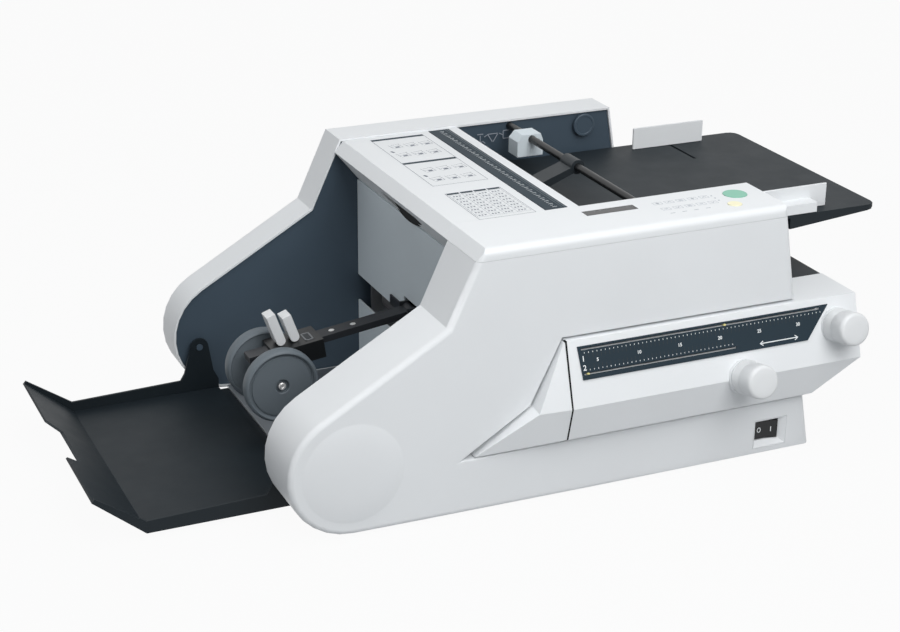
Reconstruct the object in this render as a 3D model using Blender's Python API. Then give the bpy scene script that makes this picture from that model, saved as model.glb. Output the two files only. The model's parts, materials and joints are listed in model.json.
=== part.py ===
"""Paper folding machine for a desk: two side covers, fold plates, delivery tray and roller arm.

Metres, +Z up. X runs from the delivery tray (-X) to the feed table (+X) and the near side
cover faces -Y. Sizes are written in the machine's own frame: x = 0 at the kink of the side
covers, y = 0 on the near cover's outer face and z = 0 on the covers' lower edge. The root
empty moves that frame so that the origin lies under the middle of the machine's box.
"""
import bpy
import bmesh
from math import acos, atan2, cos, hypot, pi, radians, sin, tan
from mathutils import Matrix, Vector

for old in list(bpy.data.objects):
    bpy.data.objects.remove(old, do_unlink=True)

# Clearances and walls that all pieces share
gap = 0.0003
overrun = 0.006
wall = 0.0025
edge_round = 0.003
rim_round = 0.0065
rim_steps = 3
round_sides = 24
small_sides = 14

# Side covers, seen from the front
foot_height = 0.004
front_depth = 0.0744
throat = 0.3314
rear_depth = 0.0527
nose_x = -0.105
nose_r = 0.0705
kink_z = 0.213
brow_x = 0.031
brow_high = 0.0675
parting_z = kink_z + brow_high
rear_rise = 0.0149
rear_top_z = parting_z + rear_rise
waist_x = 0.419
toe_forward = 0.034
toe_x = waist_x + toe_forward
waist_drop = 0.031
waist_z = kink_z - waist_drop
shoulder_back = 0.0165
shoulder_x = waist_x - shoulder_back
nose_steps = 12
rear_inner = front_depth + throat
cover_far = rear_inner + rear_depth
centre_y = front_depth + throat / 2

# Roof: lid and control panel share one section
lid_corner_back = 0.011
lid_corner_x = brow_x + lid_corner_back
roof_rise = 0.0131
roof_top_z = parting_z + roof_rise
roof_low_z = parting_z + gap
lid_right_x = 0.190
panel_lap = 0.0108
panel_depth = front_depth + panel_lap
skirt_foot_back = 0.031
skirt_foot_x = brow_x + skirt_foot_back
skirt_drop = 0.0375
skirt_foot_z = parting_z - skirt_drop
skirt_thick = 0.003

# Recess in the near cover for the fold plate housing
notch_floor_z = 0.0617
notch_mid_high = 0.0483
notch_mid_z = notch_floor_z + notch_mid_high
notch_left_x = 0.131
notch_mid_back = 0.0355
notch_mid_x = notch_left_x - notch_mid_back
notch_tip_back = 0.0781
notch_tip_x = notch_mid_x - notch_tip_back

# Fold plate housing: its section and its length
housing_left_gap = 0.0015
housing_left_x = notch_left_x + housing_left_gap
housing_long = 0.3625
housing_right_x = housing_left_x + housing_long
housing_top_drop = 0.002
housing_top_z = waist_z - housing_top_drop
housing_back_y = 0.0615
brow_y = -0.004
crease_forward = 0.021
crease_y = brow_y - crease_forward
chin_back = 0.010
chin_y = crease_y + chin_back
chin_high = 0.0093
chin_z = notch_floor_z + chin_high
crease_high = 0.039
crease_z = chin_z + crease_high
chin_right_in = 0.067
chin_right_x = housing_right_x - chin_right_in

# Inner frame
liner_set = 0.0025
liner_thick = 0.002
frame_set = 0.0103
frame_thick = 0.002
frame_left_in = 0.010
frame_left_x = skirt_foot_x + frame_left_in
frame_right_in = 0.0025
frame_right_x = shoulder_x - frame_right_in
pan_thick = 0.0035
pan_left_out = 0.007
pan_left_x = nose_x - pan_left_out
pan_right_in = 0.006
pan_right_x = toe_x - pan_right_in
pan_top_z = pan_thick
frame_top_z = skirt_foot_z - gap
front_liner_y = front_depth - liner_set
rear_liner_y = rear_inner + liner_set
near_frame_y = front_depth + frame_set
far_frame_y = rear_inner - frame_set - frame_thick

# Outer reach of the machine, for the root empty
table_right_x = 0.580
tray_end_x = -0.358
knob_tilt = radians(12)
knob_length = 0.036
knob_cap_r = 0.019
knob_cap_round = 0.003
knob_proud = 0.003
upper_knob_in = 0.029
upper_knob_x = housing_right_x - upper_knob_in
upper_knob_back = 0.0125
upper_knob_y = crease_y + upper_knob_back
upper_knob_high = 0.039
upper_knob_z = crease_z + upper_knob_high
lower_knob_along = 0.2105
lower_knob_x = housing_left_x + lower_knob_along
lower_knob_y = crease_y
lower_knob_high = 0.002
lower_knob_z = crease_z + lower_knob_high
knob_reach = (knob_proud + gap + knob_length) * cos(knob_tilt)
knob_front_y = lower_knob_y - knob_reach - (knob_cap_r - knob_cap_round) * sin(knob_tilt)


def material(name, colour, roughness, metallic=0.0):
    """A plain surface with one colour."""
    made = bpy.data.materials.new(name)
    made.use_nodes = True
    surface = made.node_tree.nodes["Principled BSDF"]
    surface.inputs["Base Color"].default_value = (*colour, 1.0)
    surface.inputs["Roughness"].default_value = roughness
    surface.inputs["Metallic"].default_value = metallic
    made.diffuse_color = (*colour, 1.0)
    return made


white = material("white_cover", (0.78, 0.79, 0.79), 0.45)
knob_white = material("knob_white", (0.80, 0.81, 0.81), 0.4)
blue_grey = material("blue_grey_liner", (0.045, 0.065, 0.09), 0.5)
exit_grey = material("exit_grey", (0.36, 0.39, 0.40), 0.5)
tray_black = material("tray_black", (0.018, 0.024, 0.028), 0.45)
black = material("black_plastic", (0.012, 0.013, 0.014), 0.4)
arm_grey = material("arm_grey", (0.05, 0.055, 0.06), 0.45)
slate = material("scale_slate", (0.045, 0.060, 0.075), 0.45)
wheel_grey = material("wheel_grey", (0.06, 0.08, 0.095), 0.6)
steel = material("steel", (0.55, 0.56, 0.58), 0.35, 1.0)
zinc = material("zinc_sheet", (0.48, 0.50, 0.52), 0.45, 1.0)
rubber = material("rubber", (0.02, 0.02, 0.02), 0.85)
roller_grey = material("roller_grey", (0.12, 0.12, 0.125), 0.75)
green = material("start_green", (0.20, 0.50, 0.38), 0.4)
pale_yellow = material("stop_yellow", (0.90, 0.86, 0.58), 0.4)
pointer_yellow = material("pointer_yellow", (0.85, 0.76, 0.30), 0.4)
smoke = material("display_smoke", (0.01, 0.01, 0.012), 0.15)
board_green = material("board_green", (0.03, 0.16, 0.08), 0.5)


def body(mesh_data):
    """A new object from a bmesh, with all its faces pointing out."""
    bmesh.ops.recalc_face_normals(mesh_data, faces=mesh_data.faces)
    mesh = bpy.data.meshes.new("body")
    mesh_data.to_mesh(mesh)
    mesh_data.free()
    made = bpy.data.objects.new("body", mesh)
    bpy.context.scene.collection.objects.link(made)
    return made


def placed(axis, first, second, along):
    """The point whose place on axis is along; the other two are in X, Y, Z order."""
    if axis == "X":
        return (along, first, second)
    if axis == "Y":
        return (first, along, second)
    return (first, second, along)


def lofted(outline, axis, layers):
    """A closed body through copies of the outline; a layer is its place and its inset."""
    data = bmesh.new()
    rings = []
    for along, inward in layers:
        ring = inset(outline, inward) if inward else outline
        rings.append([data.verts.new(placed(axis, a, b, along)) for a, b in ring])
    for lower, upper in zip(rings, rings[1:]):
        for i in range(len(outline)):
            j = (i + 1) % len(outline)
            data.faces.new((lower[i], lower[j], upper[j], upper[i]))
    data.faces.new(rings[0])
    data.faces.new(rings[-1])
    return body(data)


def prism(outline, axis, low, high):
    return lofted(outline, axis, ((low, 0), (high, 0)))


def box(x0, x1, y0, y1, z0, z1):
    return prism([(x0, y0), (x1, y0), (x1, y1), (x0, y1)], "Z", z0, z1)


def arc(a, b, radius, start, end, steps):
    turns = [start + (end - start) * i / steps for i in range(steps + 1)]
    return [(a + radius * cos(t), b + radius * sin(t)) for t in turns]


def circle(a, b, radius, sides):
    return arc(a, b, radius, 0, 2 * pi, sides)[:-1]


def rod(axis, a, b, radius, low, high, sides=round_sides):
    return prism(circle(a, b, radius, sides), axis, low, high)


def rounded(a0, a1, b0, b1, radius, steps=3):
    """A rectangle with round corners."""
    a_in, a_out = a0 + radius, a1 - radius
    b_in, b_out = b0 + radius, b1 - radius
    centres = [(a_out, b_out), (a_in, b_out), (a_in, b_in), (a_out, b_in)]
    points = []
    for corner, (a, b) in enumerate(centres):
        start = corner * pi / 2
        points += arc(a, b, radius, start, start + pi / 2, steps)
    return points


def inset(outline, inward):
    """The outline moved into its own body by the same distance everywhere."""
    area = 0
    for (a, b), (c, d) in zip(outline, outline[1:] + outline[:1]):
        area += a * d - b * c
    side = inward if area > 0 else -inward
    moved = []
    for i, (a, b) in enumerate(outline):
        before = outline[i - 1]
        after = outline[(i + 1) % len(outline)]
        into = Vector((a - before[0], b - before[1])).normalized()
        out = Vector((after[0] - a, after[1] - b)).normalized()
        left_in = Vector((-into.y, into.x))
        left_out = Vector((-out.y, out.x))
        miter = (left_in + left_out) / (1 + left_in.dot(left_out))
        moved.append((a + side * miter.x, b + side * miter.y))
    return moved


def turned(profile, sides=round_sides):
    """A closed body of revolution about Z through (radius, height) points."""
    data = bmesh.new()
    rings = []
    for radius, height in profile:
        count = sides if radius else 1
        ring = [data.verts.new((a, b, height)) for a, b in circle(0, 0, radius, count)]
        rings.append(ring)
    pairs = list(zip(rings, rings[1:]))
    if profile[0][0]:
        pairs.append((rings[-1], rings[0]))
    for lower, upper in pairs:
        for i in range(sides):
            j = (i + 1) % sides
            loop = [lower[i % len(lower)], lower[j % len(lower)]]
            loop += [upper[j % len(upper)], upper[i % len(upper)]]
            corners = list(dict.fromkeys(loop))
            if len(corners) > 2:
                data.faces.new(corners)
    return body(data)


def moved(item, matrix):
    item.data.transform(matrix)
    return item


def along_y(item, x, y, z):
    """Turns a body made about Z so that its +Z runs along +Y from the given point."""
    return moved(item, Matrix.Translation((x, y, z)) @ Matrix.Rotation(-pi / 2, 4, "X"))


def tipped(item, axis, angle, x, y, z):
    """Turns a body about an axis through the given point."""
    about = Matrix.Translation((x, y, z))
    return moved(item, about @ Matrix.Rotation(angle, 4, axis) @ about.inverted())


def combine(operation, item, tools):
    for tool in tools:
        modifier = item.modifiers.new(operation.title(), "BOOLEAN")
        modifier.operation = operation
        modifier.solver = "EXACT"
        modifier.object = tool
        with bpy.context.temp_override(object=item, active_object=item):
            bpy.ops.object.modifier_apply(modifier=modifier.name)
        bpy.data.objects.remove(tool, do_unlink=True)
    return item


def cut(item, *tools):
    return combine("DIFFERENCE", item, tools)


def join(item, *tools):
    return combine("UNION", item, tools)


def common(item, *tools):
    return combine("INTERSECT", item, tools)


root = bpy.data.objects.new("machine", None)
bpy.context.scene.collection.objects.link(root)
root.location = (
    -(table_right_x + tray_end_x) / 2,
    -(cover_far + knob_front_y) / 2,
    foot_height,
)


def node(name, item, look, origin=(0, 0, 0), smooth_angle=30):
    """Names a finished body, gives it its material and puts its origin on its joint or seat."""
    item.name = name
    item.data.name = name
    item.data.transform(Matrix.Translation(-Vector(origin)))
    item.location = origin
    item.parent = root
    item.data.materials.clear()
    item.data.materials.append(look)
    item.data.shade_smooth()
    item.data.set_sharp_from_angle(angle=radians(smooth_angle))
    return item


def side_profile(top_z, with_notch, toe_drop=0):
    """The side cover's outline in X and Z, anticlockwise from the nose's upper tangent."""
    reach = hypot(nose_x, kink_z - nose_r)
    tangent = atan2(kink_z - nose_r, -nose_x) + acos(nose_r / reach)
    outline = arc(nose_x, nose_r, nose_r, tangent, 1.5 * pi, nose_steps)
    toe_lean = (toe_x - waist_x) / waist_z
    outline.append((toe_x + toe_drop * toe_lean, -toe_drop))
    if with_notch:
        lower_x = toe_x - (toe_x - waist_x) * notch_floor_z / waist_z
        outline.append((lower_x, notch_floor_z))
        outline.append((notch_tip_x, notch_floor_z))
        outline.append((notch_mid_x, notch_mid_z))
        outline.append((notch_left_x, waist_z))
    rise = top_z - parting_z
    back_lean = (waist_x - shoulder_x) / (parting_z - waist_z)
    front_lean = brow_x / (parting_z - kink_z)
    outline.append((waist_x, waist_z))
    outline.append((shoulder_x - rise * back_lean, top_z))
    outline.append((brow_x + rise * front_lean, top_z))
    outline.append((0, kink_z))
    return outline


def rim_layers(face_y, into):
    """Places and insets of the quarter-round rim behind an outer face."""
    turns = [pi / 2 * (rim_steps - i) / rim_steps for i in range(rim_steps + 1)]
    return [
        (face_y + into * rim_round * (1 - sin(turn)), rim_round * (1 - cos(turn))) for turn in turns
    ]


front_profile = side_profile(parting_z, True)
rear_profile = side_profile(rear_top_z, False)
rim_profile = side_profile(parting_z + rim_round, False, rim_round)
half_round = edge_round * (1 - cos(pi / 4))

# Near side cover: an open shell with the housing's recess, a domed disc and the switch hole
boss_r = 0.0567
boss_rim = 0.002
boss_dome = 0.0038
boss_mid_share = 0.6
boss_mid_rise_share = 0.8
switch_in = 0.076
switch_left_x = toe_x - switch_in
switch_long = 0.043
switch_right_x = switch_left_x + switch_long
switch_low_z = 0.006
switch_high = 0.035
switch_high_z = switch_low_z + switch_high

front_cover = lofted(rim_profile, "Y", rim_layers(0, 1) + [(front_depth, 0)])
cover_left_x = nose_x - nose_r - overrun
cover_right_x = toe_x + rim_round + overrun
notch_outline = [
    (notch_tip_x, notch_floor_z),
    (cover_right_x, notch_floor_z),
    (cover_right_x, waist_z),
    (notch_left_x, waist_z),
    (notch_mid_x, notch_mid_z),
]
notch = lofted(
    notch_outline,
    "Y",
    (
        (-overrun, -edge_round),
        (0, -edge_round),
        (half_round, -half_round),
        (edge_round, 0),
        (front_depth + overrun, 0),
    ),
)
cavity = prism(inset(front_profile, wall), "Y", wall, front_depth + overrun)
cavity_limit = lofted(
    rim_profile, "Y", ((wall, rim_round), (rim_round, wall), (front_depth + 2 * overrun, wall))
)
cut(
    front_cover,
    box(cover_left_x, cover_right_x, -overrun, front_depth + overrun, -rim_round - overrun, 0),
    box(
        cover_left_x,
        cover_right_x,
        -overrun,
        front_depth + overrun,
        parting_z,
        parting_z + rim_round + overrun,
    ),
    notch,
    common(cavity, cavity_limit),
    box(switch_left_x, switch_right_x, -overrun, wall + overrun, switch_low_z, switch_high_z),
)
dome = turned(
    [
        (0, boss_dome),
        (boss_r * boss_mid_share, boss_dome * boss_mid_rise_share),
        (boss_r - boss_rim, boss_rim / 2),
        (boss_r, 0),
        (boss_r, -wall / 2),
        (0, -wall / 2),
    ],
    sides=2 * round_sides,
)
dome_place = Matrix.Translation((nose_x, 0, nose_r))
join(front_cover, moved(dome, dome_place @ Matrix.Rotation(pi / 2, 4, "X")))
node("front_cover", front_cover, white)

# Far side cover with the mains inlet's hole in its outer face
inlet_x = 0.380
inlet_z = 0.040
inlet_wide = 0.031
inlet_high = 0.024
inlet_depth = 0.026
inlet_floor = 0.004
inlet_wall = 0.0025
inlet_flange = 0.004
inlet_flange_thick = 0.002
inlet_left_x = inlet_x - inlet_wide / 2
inlet_right_x = inlet_x + inlet_wide / 2
inlet_low_z = inlet_z - inlet_high / 2
inlet_high_z = inlet_z + inlet_high / 2

rear_rim_profile = side_profile(rear_top_z, False, rim_round)
rear_cover = lofted(rear_rim_profile, "Y", rim_layers(cover_far, -1) + [(rear_inner, 0)])
rear_cavity = prism(inset(rear_profile, wall), "Y", rear_inner - overrun, cover_far - wall)
rear_cavity_limit = lofted(
    rear_rim_profile,
    "Y",
    ((cover_far - wall, rim_round), (cover_far - rim_round, wall), (rear_inner - 2 * overrun, wall)),
)
cut(
    rear_cover,
    box(
        cover_left_x,
        cover_right_x,
        rear_inner - overrun,
        cover_far + overrun,
        -rim_round - overrun,
        0,
    ),
    common(rear_cavity, rear_cavity_limit),
    box(
        inlet_left_x,
        inlet_right_x,
        cover_far - wall - overrun,
        cover_far + overrun,
        inlet_low_z,
        inlet_high_z,
    ),
)
node("rear_cover", rear_cover, white)

# Mains inlet: a socket with three pins, its flange inside the cover
pin_wide = 0.002
pin_deep = 0.016
pin_pitch = 0.007
inlet_back_y = cover_far - inlet_depth
socket = box(
    inlet_left_x + gap, inlet_right_x - gap, inlet_back_y, cover_far, inlet_low_z + gap, inlet_high_z - gap
)
join(
    socket,
    box(
        inlet_left_x - inlet_flange,
        inlet_right_x + inlet_flange,
        cover_far - wall - gap - inlet_flange_thick,
        cover_far - wall - gap,
        inlet_low_z - inlet_flange,
        inlet_high_z + inlet_flange,
    ),
)
cut(
    socket,
    box(
        inlet_left_x + inlet_wall,
        inlet_right_x - inlet_wall,
        inlet_back_y + inlet_floor,
        cover_far + overrun,
        inlet_low_z + inlet_wall,
        inlet_high_z - inlet_wall,
    ),
)
for place_x, place_z in ((-pin_pitch, 0), (pin_pitch, 0), (0, pin_pitch / 2)):
    join(
        socket,
        box(
            inlet_x + place_x - pin_wide / 2,
            inlet_x + place_x + pin_wide / 2,
            inlet_back_y + inlet_floor / 2,
            inlet_back_y + inlet_floor + pin_deep,
            inlet_z + place_z - pin_wide,
            inlet_z + place_z + pin_wide,
        ),
    )
node("mains_inlet", socket, black, origin=(inlet_x, cover_far, inlet_z))

# Liners that close the covers; studs on them carry the delivery tray's ears
tray_hinge_forward = 0.042
tray_hinge_x = nose_x - tray_hinge_forward
tray_hinge_z = 0.062
tray_half = 0.160
ear_thick = 0.003
stud_r = 0.004
stud_end = 0.001
stud_sink = 0.001
tray_near_y = centre_y - tray_half
tray_far_y = centre_y + tray_half
front_liner = prism(
    inset(front_profile, wall + gap), "Y", front_liner_y - liner_thick, front_liner_y
)
join(
    front_liner,
    rod(
        "Y",
        tray_hinge_x,
        tray_hinge_z,
        stud_r,
        front_liner_y - stud_sink,
        tray_near_y + ear_thick + stud_end,
    ),
)
node("front_liner", front_liner, blue_grey)
rear_liner = prism(
    inset(rear_profile, wall + gap), "Y", rear_liner_y, rear_liner_y + liner_thick
)
join(
    rear_liner,
    rod(
        "Y",
        tray_hinge_x,
        tray_hinge_z,
        stud_r,
        tray_far_y - ear_thick - stud_end,
        rear_liner_y + stud_sink,
    ),
)
node("rear_liner", rear_liner, blue_grey)

# Base pan between the covers, on four rubber feet
foot_r = 0.011
foot_taper = 0.0015
foot_inset_x = 0.030
foot_inset_y = 0.028
base_pan = box(
    pan_left_x, pan_right_x, front_depth + gap, rear_inner - gap, 0, pan_thick
)
node("base_pan", base_pan, zinc)
foot_number = 0
for foot_y in (front_depth + foot_inset_y, rear_inner - foot_inset_y):
    for foot_x in (pan_left_x + foot_inset_x, pan_right_x - foot_inset_x):
        foot_number += 1
        foot = turned(
            [
                (0, -foot_height),
                (foot_r - foot_taper, -foot_height),
                (foot_r, -gap),
                (0, -gap),
            ]
        )
        moved(foot, Matrix.Translation((foot_x, foot_y, 0)))
        node(f"foot_{foot_number}", foot, rubber, origin=(foot_x, foot_y, -gap))

# Fold rollers and feed roller: their places set the holes in the side frames
roller_x = 0.100
roller_pitch = 0.033
roller_top_z = 0.190
roller_count = 4
roller_r = (roller_pitch - gap) / 2
roller_end = 0.0152
journal_r = 0.005
journal_end = 0.0065
drive_disc_gap = 0.003
drive_disc_thick = 0.006
feed_x = 0.178
feed_drop = 0.0127
feed_z = frame_top_z - feed_drop
feed_r = 0.020
feed_end = 0.030
roller_places = [(roller_x, roller_top_z - i * roller_pitch) for i in range(roller_count)]
motor_x = 0.290
motor_z = 0.060
motor_r = 0.030
motor_length = 0.085
motor_shaft_r = 0.004
motor_boss_r = 0.012

# Side frames: the near one is open to the right where the fold plates pass
bay_start = 0.018
bay_left_x = roller_x + bay_start
bay_low_z = 0.130
bay_high_z = 0.184
frame_low_z = pan_top_z + gap
near_outline = [
    (frame_left_x, frame_low_z),
    (frame_right_x, frame_low_z),
    (frame_right_x, bay_low_z),
    (bay_left_x, bay_low_z),
    (bay_left_x, bay_high_z),
    (frame_right_x, bay_high_z),
    (frame_right_x, frame_top_z),
    (frame_left_x, frame_top_z),
]
far_outline = [
    (frame_left_x, frame_low_z),
    (frame_right_x, frame_low_z),
    (frame_right_x, frame_top_z),
    (frame_left_x, frame_top_z),
]
for name, outline, frame_y in (
    ("side_frame_near", near_outline, near_frame_y),
    ("side_frame_far", far_outline, far_frame_y),
):
    frame = prism(outline, "Y", frame_y, frame_y + frame_thick)
    holes = roller_places + [(feed_x, feed_z)]
    for hole_x, hole_z in holes:
        cut(
            frame,
            rod(
                "Y",
                hole_x,
                hole_z,
                journal_r + gap,
                frame_y - overrun,
                frame_y + frame_thick + overrun,
                small_sides,
            ),
        )
    if frame_y == far_frame_y:
        cut(
            frame,
            rod(
                "Y",
                motor_x,
                motor_z,
                motor_boss_r + gap,
                frame_y - overrun,
                frame_y + frame_thick + overrun,
                small_sides,
            ),
        )
    node(name, frame, zinc)

# Exit panel over the paper exit and the sill under it
exit_set = 0.0015
exit_x = skirt_foot_x - exit_set
exit_thick = 0.0025
exit_low_z = 0.121
sill_top_z = 0.088
arm_slot_half = 0.0225
arm_slot_top_z = 0.145
arm_y = centre_y
exit_near_y = front_liner_y + gap
exit_far_y = rear_liner_y - gap
exit_panel = box(
    exit_x, exit_x + exit_thick, exit_near_y, exit_far_y, exit_low_z, frame_top_z
)
cut(
    exit_panel,
    box(
        exit_x - overrun,
        exit_x + exit_thick + overrun,
        arm_y - arm_slot_half,
        arm_y + arm_slot_half,
        exit_low_z - overrun,
        arm_slot_top_z,
    ),
)
node("exit_panel", exit_panel, exit_grey)
exit_sill = box(
    exit_x,
    exit_x + exit_thick,
    front_depth + gap,
    exit_far_y,
    pan_top_z + gap,
    sill_top_z,
)
node("exit_sill", exit_sill, exit_grey)

# Roof section: a deck with a slanted skirt at its left end, for the lid and the panel
roof_run = skirt_foot_x - brow_x
roof_drop = parting_z - skirt_foot_z
skirt_wide = skirt_thick * hypot(roof_run, roof_drop) / roof_drop
roof_corner_in = 0.0015
end_wall_wide = 0.003


def roof_outer(right_low_x, right_high_x):
    return [
        (brow_x, roof_low_z),
        (skirt_foot_x, skirt_foot_z),
        (skirt_foot_x + skirt_wide + end_wall_wide, skirt_foot_z),
        (frame_left_x + skirt_wide, roof_low_z),
        (right_low_x, roof_low_z),
        (right_high_x, roof_top_z),
        (lid_corner_x, roof_top_z),
    ]


def roof_inner(right_high_x, deck):
    low_z = skirt_foot_z - overrun
    return [
        (brow_x + skirt_wide, roof_low_z),
        (brow_x + skirt_wide + (roof_low_z - low_z) * roof_run / roof_drop, low_z),
        (right_high_x - wall, low_z),
        (right_high_x - wall, roof_top_z - deck),
        (lid_corner_x + roof_corner_in, roof_top_z - deck),
    ]


# Control panel at the near end of the roof, with windows for the display and the buttons
panel_deck = 0.0045
panel_round = 0.008
panel_round_steps = 4
shoulder_lean = (waist_x - shoulder_x) / (parting_z - waist_z)
panel_right_x = shoulder_x - shoulder_lean * gap
panel_top_x = shoulder_x - shoulder_lean * (roof_top_z - parting_z)
display_left_x = 0.184
display_long = 0.060
display_right_x = display_left_x + display_long
display_back = 0.0192
display_far_y = panel_depth - display_back
display_wide = 0.012
display_near_y = display_far_y - display_wide
start_in = 0.0355
start_x = shoulder_x - start_in
start_back = 0.0292
start_y = panel_depth - start_back
start_r = 0.0135
stop_beside = 0.018
stop_x = start_x - stop_beside
stop_forward = 0.029
stop_y = start_y - stop_forward
stop_r = 0.008
deck_low_z = roof_top_z - panel_deck

control_panel = prism(roof_outer(panel_right_x, panel_top_x), "Y", 0, panel_depth)
nose_section = arc(panel_round, roof_top_z - panel_round, panel_round, pi, pi / 2, panel_round_steps)
nose_section += [
    (panel_depth + overrun, roof_top_z),
    (panel_depth + overrun, skirt_foot_z - overrun),
    (0, skirt_foot_z - overrun),
]
panel_rim_profile = side_profile(roof_top_z + rim_round, False)
common(
    control_panel,
    prism(nose_section, "X", brow_x - overrun, shoulder_x + overrun),
    lofted(panel_rim_profile, "Y", rim_layers(0, 1) + [(panel_depth + overrun, 0)]),
)
cut(
    control_panel,
    box(
        brow_x - overrun,
        frame_left_x + skirt_wide + overrun,
        -overrun,
        front_depth + gap,
        skirt_foot_z - overrun,
        roof_low_z,
    ),
    prism(roof_inner(panel_top_x, panel_deck), "Y", wall, panel_depth - wall),
    box(
        display_left_x,
        display_right_x,
        display_near_y,
        display_far_y,
        deck_low_z - overrun,
        roof_top_z + overrun,
    ),
    rod("Z", start_x, start_y, start_r + gap, deck_low_z - overrun, roof_top_z + overrun),
    rod("Z", stop_x, stop_y, stop_r + gap, deck_low_z - overrun, roof_top_z + overrun),
)
node("control_panel", control_panel, white)

# Display window, level with the panel
window_thick = 0.003
display = box(
    display_left_x + gap,
    display_right_x - gap,
    display_near_y + gap,
    display_far_y - gap,
    roof_top_z - window_thick,
    roof_top_z,
)
node("display_window", display, smoke)

# Start and stop buttons: a cap on a flange that the deck holds down
button_rise = 0.0006
flange_rim = 0.0015
flange_thick = 0.0012
for name, place_x, place_y, radius, look in (
    ("start_button", start_x, start_y, start_r, green),
    ("stop_button", stop_x, stop_y, stop_r, pale_yellow),
):
    button = turned(
        [
            (0, deck_low_z - gap - flange_thick),
            (radius + flange_rim, deck_low_z - gap - flange_thick),
            (radius + flange_rim, deck_low_z - gap),
            (radius, deck_low_z - gap),
            (radius, roof_top_z + button_rise),
            (0, roof_top_z + button_rise),
        ]
    )
    moved(button, Matrix.Translation((place_x, place_y, 0)))
    node(name, button, look, origin=(place_x, place_y, deck_low_z))

# Lid: hinged at its right end, with a groove for the ruler and a finger grip in its skirt
lid_deck = 0.003
lid_near_y = panel_depth + gap
lid_far_y = rear_inner - gap
lid_hinge_in = 0.004
lid_hinge_x = lid_right_x - lid_hinge_in
lid_hinge_drop = 0.0066
lid_hinge_z = roof_top_z - lid_hinge_drop
ruler_left_x = 0.1504
ruler_right_x = 0.1775
ruler_near_margin = 0.0015
ruler_near_y = lid_near_y + ruler_near_margin
ruler_far_margin = 0.0035
ruler_far_y = lid_far_y - ruler_far_margin
ruler_sink = 0.0012
ruler_proud = 0.0004
grip_near_in = 0.0945
grip_near_y = lid_near_y + grip_near_in
grip_far_in = 0.1085
grip_far_y = lid_far_y - grip_far_in
grip_drop = 0.0135
grip_high_z = parting_z - grip_drop
grip_high = 0.020
grip_low_z = grip_high_z - grip_high
grip_corner = 0.006
lid = prism(roof_outer(lid_right_x, lid_right_x), "Y", lid_near_y, lid_far_y)
grip_mid_y = (grip_near_y + grip_far_y) / 2
grip_half = (grip_far_y - grip_near_y) / 2
grip_deep = grip_high_z - grip_corner - grip_low_z
bow_r = (grip_half ** 2 + grip_deep ** 2) / (2 * grip_deep)
bow_half = atan2(grip_half, bow_r - grip_deep)
grip_outline = arc(
    grip_mid_y, grip_low_z + bow_r, bow_r, 1.5 * pi - bow_half, 1.5 * pi + bow_half, nose_steps
)
grip_outline += [
    (grip_far_y - grip_corner, grip_high_z),
    (grip_near_y + grip_corner, grip_high_z),
]
cut(
    lid,
    prism(roof_inner(lid_right_x, lid_deck), "Y", lid_near_y + wall, lid_far_y - wall),
    box(
        ruler_left_x,
        ruler_right_x,
        ruler_near_y,
        ruler_far_y,
        roof_top_z - ruler_sink,
        roof_top_z + overrun,
    ),
    prism(grip_outline, "X", brow_x, frame_left_x),
)
node("lid", lid, white, origin=(lid_hinge_x, centre_y, lid_hinge_z))
ruler = box(
    ruler_left_x + gap,
    ruler_right_x - gap,
    ruler_near_y + gap,
    ruler_far_y - gap,
    roof_top_z - ruler_sink + gap,
    roof_top_z + ruler_proud,
)
node("ruler_plate", ruler, slate, origin=(lid_hinge_x, centre_y, lid_hinge_z))

# Power rocker in a funnel-shaped surround in the near cover
switch_depth = 0.014
switch_flange = 0.004
switch_flange_thick = 0.002
funnel_deep = 0.005
funnel_rim = 0.0012
window_left_in = 0.0025
window_left_x = switch_left_x + window_left_in
window_right_in = 0.0085
window_right_x = switch_right_x - window_right_in
window_low_in = 0.0075
window_low_z = switch_low_z + window_low_in
window_high_in = 0.0045
window_high_z = switch_high_z - window_high_in
rocker_gap = 0.0006
rocker_tip = radians(8)
rocker_pivot_y = 0.0095
rocker_rise = 0.0050
rocker_dip = 0.0030
rocker_back = 0.0030
surround = box(
    switch_left_x + gap,
    switch_right_x - gap,
    0,
    switch_depth,
    switch_low_z + gap,
    switch_high_z - gap,
)
join(
    surround,
    box(
        switch_left_x - switch_flange,
        switch_right_x + switch_flange,
        wall + gap,
        wall + gap + switch_flange_thick,
        wall + gap,
        switch_high_z + switch_flange,
    ),
)
funnel_front = [
    (switch_left_x + funnel_rim, switch_low_z + funnel_rim),
    (switch_right_x - funnel_rim, switch_low_z + funnel_rim),
    (switch_right_x - funnel_rim, switch_high_z - funnel_rim),
    (switch_left_x + funnel_rim, switch_high_z - funnel_rim),
]
funnel_back = [
    (window_left_x, window_low_z),
    (window_right_x, window_low_z),
    (window_right_x, window_high_z),
    (window_left_x, window_high_z),
]
funnel_data = bmesh.new()
front_ring = [funnel_data.verts.new((a, 0, b)) for a, b in funnel_front]
back_ring = [funnel_data.verts.new((a, funnel_deep, b)) for a, b in funnel_back]
mouth_ring = [funnel_data.verts.new((a, -overrun, b)) for a, b in funnel_front]
for lower, upper in ((mouth_ring, front_ring), (front_ring, back_ring)):
    for i in range(len(lower)):
        j = (i + 1) % len(lower)
        funnel_data.faces.new((lower[i], lower[j], upper[j], upper[i]))
funnel_data.faces.new(mouth_ring)
funnel_data.faces.new(back_ring)
cut(
    surround,
    body(funnel_data),
    box(
        window_left_x,
        window_right_x,
        0,
        switch_depth + overrun,
        window_low_z,
        window_high_z,
    ),
)
node("switch_surround", surround, white)
rocker_x = (window_left_x + window_right_x) / 2
rocker_half = (window_right_x - window_left_x) / 2 - rocker_gap
rocker_low_z = window_low_z + rocker_gap
rocker_high_z = window_high_z - rocker_gap
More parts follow.
